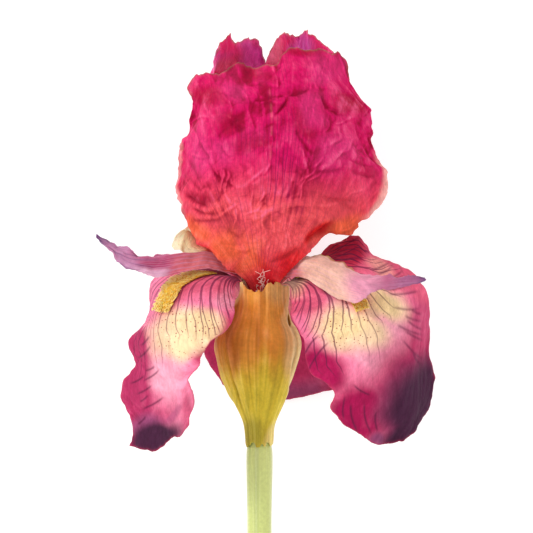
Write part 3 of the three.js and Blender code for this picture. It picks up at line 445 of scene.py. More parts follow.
def piece(name, points, faces, material, nodes, fields=None, uv=None):
    """An object at the origin from points in the flower's frame in millimetres, riding on the part's body."""
    mesh = bpy.data.meshes.new(name)
    mesh.from_pydata(((points + THROAT) * MM).tolist(), [], [tuple(f) for f in faces])
    for field, values in (fields or {}).items():
        mesh.attributes.new(field, "FLOAT", "POINT").data.foreach_set("value", values.astype(np.float32).ravel())
    if uv is not None:
        corner = np.zeros(len(mesh.loops), np.int32)
        mesh.loops.foreach_get("vertex_index", corner)
        mesh.uv_layers.new(name="blade").data.foreach_set("uv", uv[corner].astype(np.float32).ravel())
    mesh.shade_smooth()
    mesh.materials.append(material)
    made = bpy.data.objects.new(name, mesh)
    bpy.context.scene.collection.objects.link(made)
    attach(made, "root")
    if nodes:
        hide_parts(*nodes)


def strips(rows, columns, closed=False, first=0):
    """Quads of a grid of points, counted row by row, that face across x along; closed joins the last column to
    the first."""
    j, i = np.meshgrid(np.arange(rows - 1), np.arange(columns if closed else columns - 1), indexing="ij")
    nxt = (i + 1) % columns
    quads = np.stack([j * columns + i, j * columns + nxt, (j + 1) * columns + nxt, (j + 1) * columns + i], axis=-1)
    return quads.reshape(-1, 4) + first


def shell(middle, thickness):
    """Points and quads of a closed blade: the middle grid moved half the thickness up and down its normals, the
    lower face turned over, and a strip of quads round the rim."""
    rows, columns = middle.shape[:2]
    half = normals(middle) * np.asarray(thickness)[..., None] / 2
    points = np.concatenate([(middle + half).reshape(-1, 3), (middle - half).reshape(-1, 3)])
    count = rows * columns
    upper = strips(rows, columns)
    index = np.arange(count).reshape(rows, columns)
    loop = np.concatenate([index[0], index[1:, -1], index[-1, -2::-1], index[-2:0:-1, 0]])
    after = np.roll(loop, -1)
    rim = np.stack([loop, loop + count, after + count, after], axis=-1)
    return points, np.concatenate([upper, upper[:, ::-1] + count, rim])


def tubes(path, radius, sides, side, over):
    """Points and faces of closed tubes, one for each row of path [tube, station, 3]: rings of the given radius in
    the plane of side and over, whose cross product runs along the path, and a flat face at each end."""
    count, stations = path.shape[:2]
    angle = TAU * np.arange(sides) / sides
    ring = np.cos(angle)[:, None] * side[:, :, None] + np.sin(angle)[:, None] * over[:, :, None]
    points = path[:, :, None] + np.asarray(radius)[..., None, None] * ring
    first = np.arange(count)[:, None] * stations * sides
    walls = (strips(stations, sides, True) + first[:, :, None]).reshape(-1, 4)
    ends = np.concatenate([first + np.arange(sides)[::-1], first + (stations - 1) * sides + np.arange(sides)])
    return points.reshape(-1, 3), walls.tolist() + ends.tolist()


# ---- Materials ------------------------------------------------------------------------------------------------

def node(tree, kind, inputs=(), **settings):
    """Adds a node, sets its properties, and gives each input, by name or in order, the socket to link or the value
    to hold. The kind of a shader node is named without its prefix. Returns the node's outputs."""
    made = tree.nodes.new(kind if kind.startswith("Node") else "ShaderNode" + kind)
    for name, value in settings.items():
        setattr(made, name, value)
    for key, value in inputs.items() if isinstance(inputs, dict) else enumerate(inputs):
        if isinstance(value, bpy.types.NodeSocket):
            tree.links.new(value, made.inputs[key])
        else:
            made.inputs[key].default_value = value
    return made.outputs


def vein_group():
    """Veins that run from a blade's claw and fork on the way. A line stands at each whole number of u times the
    count, where u is first drawn in by 1 - flare v, but to no less than a quarter, so that the lines run out to the
    margins. Past the fork each line parts in two, whose distance from it grows to a quarter of the spacing. The
    distance to the nearest branch, in millimetres by the span attribute, is cut off at half the width. Each line
    ends at its own height, and is as strong as its own random number says."""
    found = bpy.data.node_groups.get("blade_veins")
    if found:
        return found
    group = bpy.data.node_groups.new("blade_veins", "ShaderNodeTree")
    defaults = {"Count": 10.0, "Width": 0.4, "Start": 0.0, "Fork": 0.2, "End": 0.6, "Spread": 0.2, "Waver": 0.3,
                "Flare": 0.0}
    for name, value in defaults.items():
        group.interface.new_socket(name, in_out="INPUT", socket_type="NodeSocketFloat").default_value = value
    group.interface.new_socket("Vein", in_out="OUTPUT", socket_type="NodeSocketFloat")
    given = node(group, "NodeGroupInput")

    place = node(group, "SeparateXYZ", (node(group, "UVMap", uv_map="blade")["UV"],))
    side = node(group, "Math", (place["X"], 2.0, -1.0), operation="MULTIPLY_ADD")[0]
    v = place["Y"]
    drift = node(group, "Math", (v, given["Flare"]), operation="MULTIPLY")[0]
    narrowed = node(group, "Math", (1.0, drift), operation="SUBTRACT")[0]
    spread = node(group, "Math", (narrowed, 0.25), operation="MAXIMUM")[0]
    u = node(group, "Math", (side, spread), operation="MULTIPLY")[0]
    flat = node(group, "CombineXYZ", (u, v))[0]
    stretched = node(group, "Mapping", {"Vector": flat, "Scale": (3.0, 7.0, 1.0)})[0]
    bend = node(group, "TexNoise", {"Vector": stretched, "Scale": 1.0, "Detail": 2.0}, noise_dimensions="2D")[0]
    bend = node(group, "Math", (bend, 0.5), operation="SUBTRACT")[0]
    sway = node(group, "Math", (bend, given["Waver"]), operation="MULTIPLY")[0]
    lines = node(group, "Math", (u, given["Count"], sway), operation="MULTIPLY_ADD")[0]
    line = node(group, "Math", (lines,), operation="ROUND")[0]
    chance = node(group, "TexWhiteNoise", {"W": line}, noise_dimensions="1D")
    late = node(group, "SeparateColor", (chance["Color"],))["Green"]

    # Each line parts in two at its own fork.
    fork = node(group, "Math", (late, 0.14, given["Fork"]), operation="MULTIPLY_ADD")[0]
    parted = node(group, "Math", (fork, 0.28), operation="ADD")[0]
    part = node(group, "MapRange", (v, fork, parted, 0.0, 0.25), interpolation_type="SMOOTHSTEP")[0]
    offset = node(group, "Math", (lines, line), operation="SUBTRACT")[0]
    offset = node(group, "Math", (offset,), operation="ABSOLUTE")[0]
    aside = node(group, "Math", (offset, part), operation="SUBTRACT")[0]
    aside = node(group, "Math", (aside,), operation="ABSOLUTE")[0]
    share = node(group, "Math", (aside, given["Count"]), operation="DIVIDE")[0]
    span = node(group, "Attribute", attribute_name="span")["Fac"]
    drawn = node(group, "Math", (share, span), operation="MULTIPLY")[0]
    millimetres = node(group, "Math", (drawn, spread), operation="DIVIDE")[0]

    # It thins towards its own end.
    chosen = node(group, "Math", (chance["Value"], 0.5), operation="SUBTRACT")[0]
    end = node(group, "Math", (chosen, given["Spread"], given["End"]), operation="MULTIPLY_ADD")[0]
    thin = node(group, "MapRange", (v, given["Start"], end, 0.5, 0.17))[0]
    half = node(group, "Math", (given["Width"], thin), operation="MULTIPLY")[0]
    soft = node(group, "Math", (half, 0.14), operation="ADD")[0]
    stroke = node(group, "MapRange", (millimetres, half, soft, 1.0, 0.0), interpolation_type="SMOOTHSTEP")[0]
    ending = node(group, "Math", (end, 0.1), operation="SUBTRACT")[0]
    ended = node(group, "MapRange", (v, ending, end, 1.0, 0.0), interpolation_type="SMOOTHSTEP")[0]
    rising = node(group, "Math", (given["Start"], 0.05), operation="ADD")[0]
    begun = node(group, "MapRange", (v, given["Start"], rising, 0.0, 1.0))[0]
    strength = node(group, "Math", (late, 0.5, 0.5), operation="MULTIPLY_ADD")[0]
    whole = node(group, "Math", (ended, begun), operation="MULTIPLY")[0]
    weight = node(group, "Math", (whole, strength), operation="MULTIPLY")[0]
    vein = node(group, "Math", (stroke, weight), operation="MULTIPLY")[0]
    node(group, "NodeGroupOutput", {"Vein": vein})
    return group


def tissue(name, base, layers, veins=(), specks=None, fibre=(0.5, 7.0), grain=0.12, bump=0.3, roughness=0.6,
           shine=0.06, glow=0.06):
    """Living plant tissue: a base colour with zones laid over it by the piece's attributes, painted shade in
    the valleys and a painted highlight on the ridges by the fold attribute, rows of long cells along the veins
    that lighten, darken and ridge it, then forking veins and specks of pigment.

    layers: (attribute, colour) pairs. veins: (attribute that weighs them, colour, group settings) triples.
    specks: (attribute, colour, millimetres between specks). fibre: width and length of a row of cells in mm."""
    material = bpy.data.materials.new(name)
    material.use_nodes = True
    tree = material.node_tree
    tree.nodes.clear()
    fields = {}
    for key in dict.fromkeys(("wide", "long", "fold", "thin", *[row[0] for row in (*layers, *veins)],
                              *([specks[0]] if specks else []))):
        fields[key] = node(tree, "Attribute", attribute_name=key)["Fac"]
    colour = base
    for zone, paint in layers:
        colour = node(tree, "Mix", {0: fields[zone], 6: colour, 7: paint}, data_type="RGBA")[2]

    # Rows of cells: noise drawn out along the veins, by the blade's real width and length in millimetres.
    metric = node(tree, "CombineXYZ", (fields["wide"], fields["long"]))[0]
    rows = node(tree, "Mapping", {"Vector": metric, "Scale": (1 / fibre[0], 1 / fibre[1], 1.0)})[0]
    cells = node(tree, "TexNoise", {"Vector": rows, "Scale": 1.0, "Detail": 3.0, "Roughness": 0.6},
                 noise_dimensions="2D")[0]
    # Painted shade and highlight: the fold attribute darkens the valleys of a crumpled blade and lightens and pales
    # its ridges.
    fold = node(tree, "MapRange", (fields["fold"], 0.0, 1.0, 0.66, 1.24))[0]
    ridge_highlight_paling = node(tree, "MapRange", (fields["fold"], 0.5, 1.0, 1.0, 0.93))[0]
    shade = node(tree, "MapRange", (cells, 0.25, 0.75, 1 - grain, 1 + grain))[0]
    # Pigment gathers in patches of a millimetre or two.
    patches = node(tree, "TexNoise", {"Vector": metric, "Scale": 0.75, "Detail": 3.0, "Roughness": 0.7},
                   noise_dimensions="2D")[0]
    mottle = node(tree, "MapRange", (patches, 0.3, 0.7, 1 - 1.1 * grain, 1 + 1.1 * grain))[0]
    value = node(tree, "Math", (fold, shade), operation="MULTIPLY")[0]
    value = node(tree, "Math", (value, mottle), operation="MULTIPLY")[0]
    colour = node(tree, "HueSaturation", {"Color": colour, "Saturation": ridge_highlight_paling, "Value": value})[0]

    relief = cells
    for zone, paint, settings in veins:
        drawn = node(tree, "Group", settings, node_tree=vein_group())["Vein"]
        weight = node(tree, "Math", (drawn, fields[zone]), operation="MULTIPLY")[0]
        colour = node(tree, "Mix", {0: weight, 6: colour, 7: paint}, data_type="RGBA")[2]
        relief = node(tree, "Math", (weight, -0.8, relief), operation="MULTIPLY_ADD")[0]
    if specks:
        zone, paint, apart = specks
        place = node(tree, "TexCoord")["Object"]
        place = node(tree, "Mapping", {"Vector": place, "Scale": (1 / (apart * MM),) * 3})[0]
        nearest = node(tree, "TexVoronoi", {"Vector": place, "Scale": 1.0})
        size = node(tree, "SeparateColor", (nearest["Color"],))["Red"]
        edge = node(tree, "Math", (size, 0.12, 0.07), operation="MULTIPLY_ADD")[0]
        outer = node(tree, "Math", (edge, 0.08), operation="ADD")[0]
        dot = node(tree, "MapRange", (nearest["Distance"], edge, outer, 1.0, 0.0))[0]
        weight = node(tree, "Math", (dot, fields[zone]), operation="MULTIPLY")[0]
        colour = node(tree, "Mix", {0: weight, 6: colour, 7: paint}, data_type="RGBA")[2]

    # Cells and veins stand up to a quarter of a millimetre off the face.
    raised = node(tree, "Bump", {"Height": relief, "Strength": bump, "Distance": 0.25 * MM})[0]
    # Light soaks through tissue where it is thin, and travels about 1.6 mm in it.
    soaked = node(tree, "MapRange", (fields["thin"], 0.0, 1.0, glow, 1.0))[0]
    skin = node(tree, "BsdfPrincipled", {
        "Base Color": colour, "Normal": raised, "Roughness": roughness, "Specular IOR Level": shine,
        "Subsurface Weight": soaked, "Subsurface Scale": 1.6 * MM, "Subsurface Radius": (1.0, 0.8, 0.85)})[0]
    node(tree, "OutputMaterial", {"Surface": skin})
    return material


# ---- Blades ---------------------------------------------------------------------------------------------------

def blade(ribs, cells, rows, thickness, seed, waves=(0.0, 5, 0.2), crumpled=0.8, frill=0.8, trim=(), creases=(),
          flare=(), ragged=1.0, calm=0.0, floor=None):
    """The net of a blade in millimetres and the fields that its material reads.

    The middle surface is the net of its ribs, moved along its normals by: standing waves at both margins,
    height |u|^3 ease(0.2, 0.5, v) sin(2 pi (count v + start sign u) + 1.5 u); the crumple; creases; and a
    frill of finer noise that dies away over 5 mm from the free edge. trim lengthens or shortens the blade at its
    end by millimetres at shares u, flare moves a margin (-1 or 1) outward by millimetres at shares v, and all
    edges are nibbled by ragged times half a millimetre of noise, which calm takes away below its end. It is
    pressed flat where it would reach below the surface that it lies on."""
    u, v = np.linspace(-1, 1, cells + 1), np.linspace(0, 1, rows + 1)
    middle = net(ribs, u, v)
    across, along = np.meshgrid(u, v)
    outward, upward = np.gradient(middle, axis=1), np.gradient(middle, axis=0)
    span = np.linalg.norm(outward, axis=-1) * cells / 2
    wide = np.cumsum(np.linalg.norm(outward, axis=-1), axis=1)
    wide -= wide[:, [cells // 2]]
    long = np.cumsum(np.linalg.norm(upward, axis=-1), axis=0)
    normal, outward, upward = normals(middle), unit(outward), unit(upward)
    grown = ease(0.02, 0.25, along)
    edge = np.minimum((1 - np.abs(across)) * span, long[-1] - long)
    margin = np.exp(-edge / 5) * grown
    height, count, start = waves
    rise = (height * np.abs(across) ** 3 * ease(0.2, 0.5, along)
            * np.sin(TAU * (count * along + start * np.sign(across)) + 1.5 * across))
    folds, shade = crumple(wide, long, seed)
    x, y = middle[..., 0], middle[..., 1]
    lines = sum((height_mm * crease(x, y, a, b, width) for a, b, width, height_mm in creases), np.zeros_like(x))
    rise += grown * (crumpled * (1 - 0.4 * margin) * folds + lines)
    rise += frill * margin * (noise(wide / 5, long / 5, seed + 3) + 0.6 * noise(wide / 2.3, long / 2.3, seed + 4))
    middle = middle + rise[..., None] * normal
    tip = ease(0.8, 1, along) ** 2
    if len(trim):
        shares, reach = np.array(trim, float).T
        middle += (tip * np.interp(across, shares, reach))[..., None] * upward
    for side, places in flare:
        heights, reach = np.array(places, float).T
        middle += (ease(0.55, 1, side * across) * side * np.interp(along, heights, reach))[..., None] * outward
    nibble = 0.45 * noise(long / 2.1, across * 9, seed + 5) + 0.25 * noise(long / 0.9, across * 9, seed + 6)
    middle += (ragged * np.abs(across) ** 12 * np.sign(across) * nibble * grown
               * (1 - calm * ease(0.75, 0.45, along)))[..., None] * outward
    middle += (ragged * tip ** 3 * (0.5 * noise(wide / 1.9, along * 9, seed + 7)
                                    + 0.3 * noise(wide / 0.8, along * 9, seed + 8)))[..., None] * upward
    if floor is not None:
        middle[..., 2] = np.maximum(middle[..., 2], floor)
    thick = thickness * (1 - 0.45 * margin)
    # fold: the painted shade and highlight of the crumple and the creases, which the material lays into the colour
    fields = {"span": span, "wide": wide, "long": long, "fold": 0.5 + 0.5 * np.clip(shade + 1.2 * lines, -1, 1),
              "rim": np.exp(-edge / 0.35)}
    return middle, thick, across, along, fields


def blade_piece(name, made, zones, material, nodes):
    """A blade's mesh: the closed shell of its middle surface with its fields and zones on both faces."""
    middle, thick, across, along, fields = made
    points, faces = shell(middle, thick)
    both = {key: np.tile(np.broadcast_to(values, across.shape).ravel(), 2)
            for key, values in {**fields, **zones}.items()}
    uv = np.tile(np.stack([(across + 1) / 2, along], axis=-1).reshape(-1, 2), (2, 1))
    piece(name, points, faces.tolist(), material, nodes, both, uv)


# ---- Settings that a user would change ------------------------------------------------------------------------

def tint(name, text, description):
    """A colour setting whose default is the sRGB hex value given."""
    return bpy.props.FloatVectorProperty(name=name, description=description, subtype="COLOR", size=4, min=0, max=1,
                                         default=linear(text))


def length(name, millimetres, description):
    """A length setting whose default is given in millimetres."""
    return bpy.props.FloatProperty(name=name, description=description, unit="LENGTH", precision=5, min=0,
                                   default=millimetres * MM)


class IrisSizes(bpy.types.PropertyGroup):
    """Sizes that the pieces share."""

    petal: length("Petal thickness", 0.5, "Thickness of a petal away from its margins")
    bract: length("Bract thickness", 0.5, "Thickness of a papery bract")
    crumple: length("Crumple", 1.1, "Height of the soft folds that run over a standard")
    frill: length("Frill", 0.9, "Height of the fine waves along a free edge")
    hair: length("Beard hair", 2.3, "Length of a hair of the beard")


class StandardColours(bpy.types.PropertyGroup):
    """Colours of the three upright petals."""

    base: tint("Magenta", "#CC0D5A", "Upper half")
    rose: tint("Rose", "#D8285C", "Below the middle")
    coral: tint("Coral", "#E85058", "Lower quarter")
    orange: tint("Orange", "#EC6438", "Low side lobes")
    throat: tint("Throat red", "#DA0008", "Foot of the petal")
    # Crimson also paints the shade in the valleys of the folds, and light pink their highlights.
    deep: tint("Crimson", "#A2002E", "Deep blotches")
    light: tint("Light pink", "#DE387C", "Light patches")
    lilac: tint("Lilac", "#CC5CA8", "Upper margins of the rear petals")
    tab: tint("Pale tab", "#DC7492", "Middle of the rear petals' tops")
    pale: tint("Pale margin", "#F2A8A0", "Thin edge that lets light through")
    lobe: tint("Cream lobe", "#FFE8B8", "Folded lower lobe of the left petal")
    fringe: tint("Dried fringe", "#8A6A50", "Dried line along the top edge")
    thread: tint("Loose threads", "#F4C9C0", "Fine threads on the claw of the front petal")
    vein: tint("Vein", "#86104A", "Veins")


class FallColours(bpy.types.PropertyGroup):
    """Colours of the three hanging petals."""

    base: tint("Pink", "#EE7A9C", "Middle of the blade")
    # Light pink also paints the highlight on the right fall's ridge.
    light: tint("Light pink", "#F29CB2", "Lightest part under the cream patch")
    cream: tint("Cream", "#F3CDA6", "Patch below the beard")
    gold: tint("Gold", "#F2D296", "Warmest part of the cream patch")
    haft: tint("Haft rose", "#D85A78", "Claw, round the beard")
    maroon: tint("Maroon", "#B41E40", "Dome beside the claw")
    wing: tint("Magenta wing", "#B4305F", "Far side of the blade")
    deep: tint("Deep magenta", "#AC1650", "Lower side of the blade")
    mauve: tint("Mauve", "#984670", "Towards the tip")
    plum: tint("Plum", "#46203A", "Tip")
    rim: tint("Rim", "#C43B5C", "Line along the margin")
    vein: tint("Vein", "#5E1C3E", "Veins")
    speck: tint("Speck", "#8C3038", "Specks on the cream patch")


class StyleArmColours(bpy.types.PropertyGroup):
    """Colours of the three style arms."""

    base: tint("Dusty rose", "#CE6C74", "Middle of the arm")
    throat: tint("Throat red", "#D4482F", "Foot of the arm")
    cream: tint("Cream peach", "#EAB8A4", "Upper side of the right arm")
    rosy: tint("Rose pink", "#E296AC", "Beyond the cream")
    wine: tint("Wine", "#AC466A", "Before the crest")
    lilac: tint("Lilac", "#C08EB0", "Crest")
    plum: tint("Plum", "#6C4874", "Folds and tips of the crest")
    pale: tint("Pale pink", "#D9A9C0", "Lower margin")
    ridge: tint("Brown ridge", "#B06A40", "Upper margin of the right arm")
    olive: tint("Olive yellow", "#B9A03E", "Foot of the right arm's upper margin")


class PlantColours(bpy.types.PropertyGroup):
    """Colours of the beards, the bracts, the stem and what stands inside the flower."""

    beard: tint("Beard", "#F9AE22", "Beard hairs")
    beard_tip: tint("Beard tip", "#FFD658", "Ends of the beard hairs")
    bract: tint("Orange ochre", "#DE8830", "Upper half of the bracts")
    # Peach also paints light over shaded parts of the bracts.
    bract_peach_and_painted_light: tint("Peach", "#E8A048", "Upper end of the bracts")
    bract_low: tint("Olive gold", "#DEC43C", "Lower half of the bracts")
    bract_green: tint("Olive green", "#A59A34", "Lengthwise streaks near the foot")
    bract_dry: tint("Dry tan", "#B06A26", "Dry streaks")
    bract_pale: tint("Pale straw", "#F8D898", "Thin margins")
    stem: tint("Stem green", "#C8D17E", "Stem")
    # Stem light also paints a highlight along the stem and light on its sides.
    stem_streak_and_highlight: tint("Stem light", "#DCE2AE", "Light streaks of the stem")
    stem_dark: tint("Stem dark", "#9CAB52", "Green streaks of the stem")
    pollen: tint("Pollen cream", "#EFE2C0", "Stamens")
    tube: tint("Tube cream", "#DCC88A", "Tube and style column")


# ---- Petals ---------------------------------------------------------------------------------------------------

class IRIS_OT_standards(bpy.types.Operator):
    """Three upright petals: crumpled, silken, magenta above and coral below"""

    bl_idname = "iris.standards"
    bl_label = "Standards"

    def execute(self, context):
        sizes, colours = context.scene.iris_sizes, context.scene.iris_standards
        # Petal tissue of an upright petal: dull silk, thin enough for light to pass at its margins.
        layers = [(zone, getattr(colours, zone)) for zone in
                  ("rose", "coral", "orange", "throat", "deep", "light", "lilac", "tab", "pale", "lobe", "fringe")]
        veins = [("veined", colours.vein, {"Count": 13.0, "Width": 0.3, "Start": 0.06, "Fork": 0.3, "End": 0.93,
                                           "Spread": 0.3, "Waver": 0.7})]
        material = tissue("standard_petal_tissue", colours.base, layers, veins, fibre=(0.35, 6.0), grain=0.13)
        shared = {"thickness": sizes.petal / MM, "crumpled": sizes.crumple / MM, "frill": sizes.frill / MM}
        front = blade(STANDARD_FRONT_RIBS, 220, 210, seed=11, waves=(1.2, 5, 0.2), trim=STANDARD_FRONT_TRIM,
                      creases=STANDARD_FRONT_CREASES, flare=STANDARD_FRONT_FLARE, **shared)
        left = blade(STANDARD_LEFT_RIBS, 160, 190, seed=23, waves=(1.0, 5, 0.1), floor=REST,
                     trim=STANDARD_LEFT_TRIM, flare=STANDARD_LEFT_FLARE, **shared)
        shared["crumpled"] *= 1.3  # the right one is the most crumpled
        right = blade(STANDARD_RIGHT_RIBS, 160, 190, seed=37, waves=(1.0, 5, 0.35), floor=REST,
                      trim=STANDARD_RIGHT_TRIM, flare=STANDARD_RIGHT_FLARE, **shared)
        # Loose plant thread: pale, dry and matt.
        self.threads(tissue("loose_thread", colours.thread, [], fibre=(0.3, 1.5), grain=0.05, roughness=0.8))
        for name, made, slot in (("standard_front", front, "standard"), ("standard_left", left, "standard_rear"),
                                 ("standard_right", right, "standard_rear")):
            blade_piece(name + "_petal", made, self.zones(name, made), material, [name])
        return {"FINISHED"}

    @staticmethod
    def threads(material):
        """Seven fine loose threads on the front standard's claw: tubes whose path jumps by scattered shares across
        and up the claw and stands 1 to 1.7 mm off its face."""
        count, stations = 7, 12
        k, j = np.meshgrid(np.arange(count), np.arange(stations), indexing="ij")
        t = j / (stations - 1)
        across = (-0.55 + 0.9 * scatter(k, 0, 141) + 0.5 * (t - 0.5) * (scatter(k, 0, 142) - 0.3)
                  + 0.3 * (scatter(k, j, 143) - 0.5))
        along = (0.015 + 0.02 * scatter(k, 0, 144) + (0.06 + 0.08 * scatter(k, 0, 145)) * t
                 + 0.01 * (scatter(k, j, 146) - 0.5))
        claw = net(STANDARD_FRONT_RIBS, np.linspace(-1, 1, 41), np.linspace(0, 0.2, 41))
        off = normals(claw)
        off *= np.sign(off[..., 2:])  # to the side that faces up
        row = np.clip(np.round(along / 0.2 * 40).astype(int), 0, 40)
        column = np.clip(np.round((across + 1) * 20).astype(int), 0, 40)
        path = claw[row, column] + (1.2 + 0.7 * scatter(k, j, 147))[..., None] * off[row, column]
        forward = unit(np.gradient(path, axis=1))
        side = unit(np.cross(forward, off[row, column]))
        over = unit(np.cross(forward, side))
        points, faces = tubes(path, np.full(path.shape[:2], 0.085), 5, side, over)
        fields = {"wide": points[:, 0], "long": points[:, 1], "fold": np.full(len(points), 0.7)}
        piece("throat_threads", points, faces, material, [], fields)

    @staticmethod
    def zones(name, made):
        """Weights of the colours over one standard, from heights up the axis and soft ellipses."""
        middle, _, across, along, fields = made
        x, y, side = middle[..., 0], middle[..., 1], np.abs(across)
        wx, wy = x + 2.5 * noise(x / 6, y / 6, 51), y + 2.5 * noise(x / 7, y / 7, 52)
        zones = dict.fromkeys(("lilac", "tab", "pale", "lobe"), np.zeros_like(x))
        zones.update(
            rose=ease(54, 34, wy + 0.2 * wx),
            coral=ease(46, 24, wy) * (1 - 0.3 * ease(26, 32, np.abs(wx - 8))),
            orange=ease(13, 26, np.abs(wx - 3)) * ease(26, 15, wy),
            throat=spot(wx, wy, (3, 2), (7, 9), soft=0.6),
            deep=0.45 * ease(0.2, 0.8, noise(x / 7, y / 6, 53)) * ease(22, 42, y),
            # light: soft patches of paler pink, partly pigment and partly a painted sheen
            light=0.3 * ease(0.1, 0.8, noise(x / 5, y / 7, 54)) * ease(14, 34, y),
            thin=0.25 * ease(0.5, 1, side) * ease(0.2, 0.5, along),
            fringe=fields["rim"] * ease(0.93, 0.98, along) * 0.8,
            veined=0.3 * ease(0.02, 0.1, along) * (1 - ease(0.85, 1, side)),
        )
        # Fine pleats fan out from the claw, painted into the fold attribute only: painted shade and highlight.
        turn, reach = np.arctan2(x - 3, y + 8), np.hypot(x - 3, y + 8)
        zones["fold"] = np.clip(fields["fold"] + 0.2 * (1 - np.abs(noise(turn * 34, reach / 26, 57))) ** 5
                                - 0.14 * (1 - np.abs(noise(turn * 27, reach / 21, 58))) ** 5, 0, 1)
        if name == "standard_front":
            for zone, ellipses in STANDARD_FRONT_SPOTS.items():
                drawn = np.max([spot(wx, wy, *each, soft=0.6) for each in ellipses], axis=0)
                under = 0 if zone == "orange" else 0.6 * zones[zone]
                zones[zone] = np.maximum((0.55 if zone == "light" else 0.8) * drawn, under)
            # Seventy short sharp creases run near that fan's lines, painted into the fold attribute only: each a
            # painted shade beside a painted highlight on a ridge.
            k = np.arange(70)
            foot = np.stack([-24 + 60 * scatter(k, 1, 58), 12 + 68 * scatter(k, 2, 58)], axis=-1)
            swing = (np.arctan2(foot[:, 0] - 3, foot[:, 1] + 8) * 0.9 + 1.5 * (scatter(k, 3, 58) - 0.5)
                     * np.where(scatter(k, 4, 58) > 0.6, 2, 1))
            head = foot + (5 + 9 * scatter(k, 5, 58))[:, None] * np.stack([np.sin(swing), np.cos(swing)], axis=-1)
            lines = sum(crease(wx, wy, a, b, 0.45) - 0.8 * crease(wx - 0.7, wy + 0.5, a, b, 0.45)
                        for a, b in zip(foot, head))
            zones["fold"] = np.clip(zones["fold"] + 0.3 * lines, 0, 1)
            zones["veined"] = ((0.5 * ease(16, 5, np.abs(x - 3.5)) + 0.4)
                               * (0.55 + 0.45 * noise(x / 4, y / 9, 55)) * (0.6 + 0.4 * ease(8, 32, y))
                               * (1 - ease(0.7, 0.95, side)))
            # Pale margins: painted light shining through the thin edges; the pale dashes along the midrib are a
            # painted highlight.
            zones["pale"] = np.max([
                ease(0.95, 0.99, across) * band(0.44, 0.52, 0.66, 0.74, along),
                0.6 * ease(-0.95, -0.99, across) * band(0.45, 0.55, 0.75, 0.85, along),
                0.14 * np.exp(-(fields["wide"] / 0.35) ** 2) * band(42, 50, 70, 80, y)
                * ease(-0.3, 0.5, noise(x / 2, y / 3, 56))], axis=0)
        else:
            zones.update({zone: spots(wx, wy, rows) for zone, rows in STANDARD_REAR_SPOTS[name].items()})
            zones["lobe"] = zones["lobe"] * ease(0.6, 0.9, across)
            zones["thin"] = np.maximum(ease(60, 76, y), zones["lobe"])
            # Painted light: the tops of the rear petals, in the front petal's shade, are painted lighter pink.
            zones["light"] = np.maximum(0.8 * ease(60, 74, y), zones["light"])
            if name == "standard_left":
                zones["deep"] = np.maximum(zones["deep"], 0.5 * ease(78, 70, y))
        # Painted shade and highlight: the valleys of the folds are painted crimson and their ridges pink.
        fold = zones["fold"]
        zones["deep"] = np.maximum(zones["deep"], 0.85 * ease(0.5, 0.18, fold) * ease(14, 36, y))
        if name == "standard_front":
            # Over this patch the painted shade of the folds is lifted: less crimson, and the fold shading drawn to a
            # light middle.
            shade_lifted = spot(wx, wy, (31, 34), (13, 12), soft=0.5)
            zones["deep"] = zones["deep"] * (1 - 0.8 * shade_lifted)
            zones["fold"] = fold + 0.3 * shade_lifted * (0.75 - fold)
        zones["light"] = np.maximum(zones["light"], 0.45 * ease(0.65, 0.95, fold) * ease(10, 30, y))
        return zones


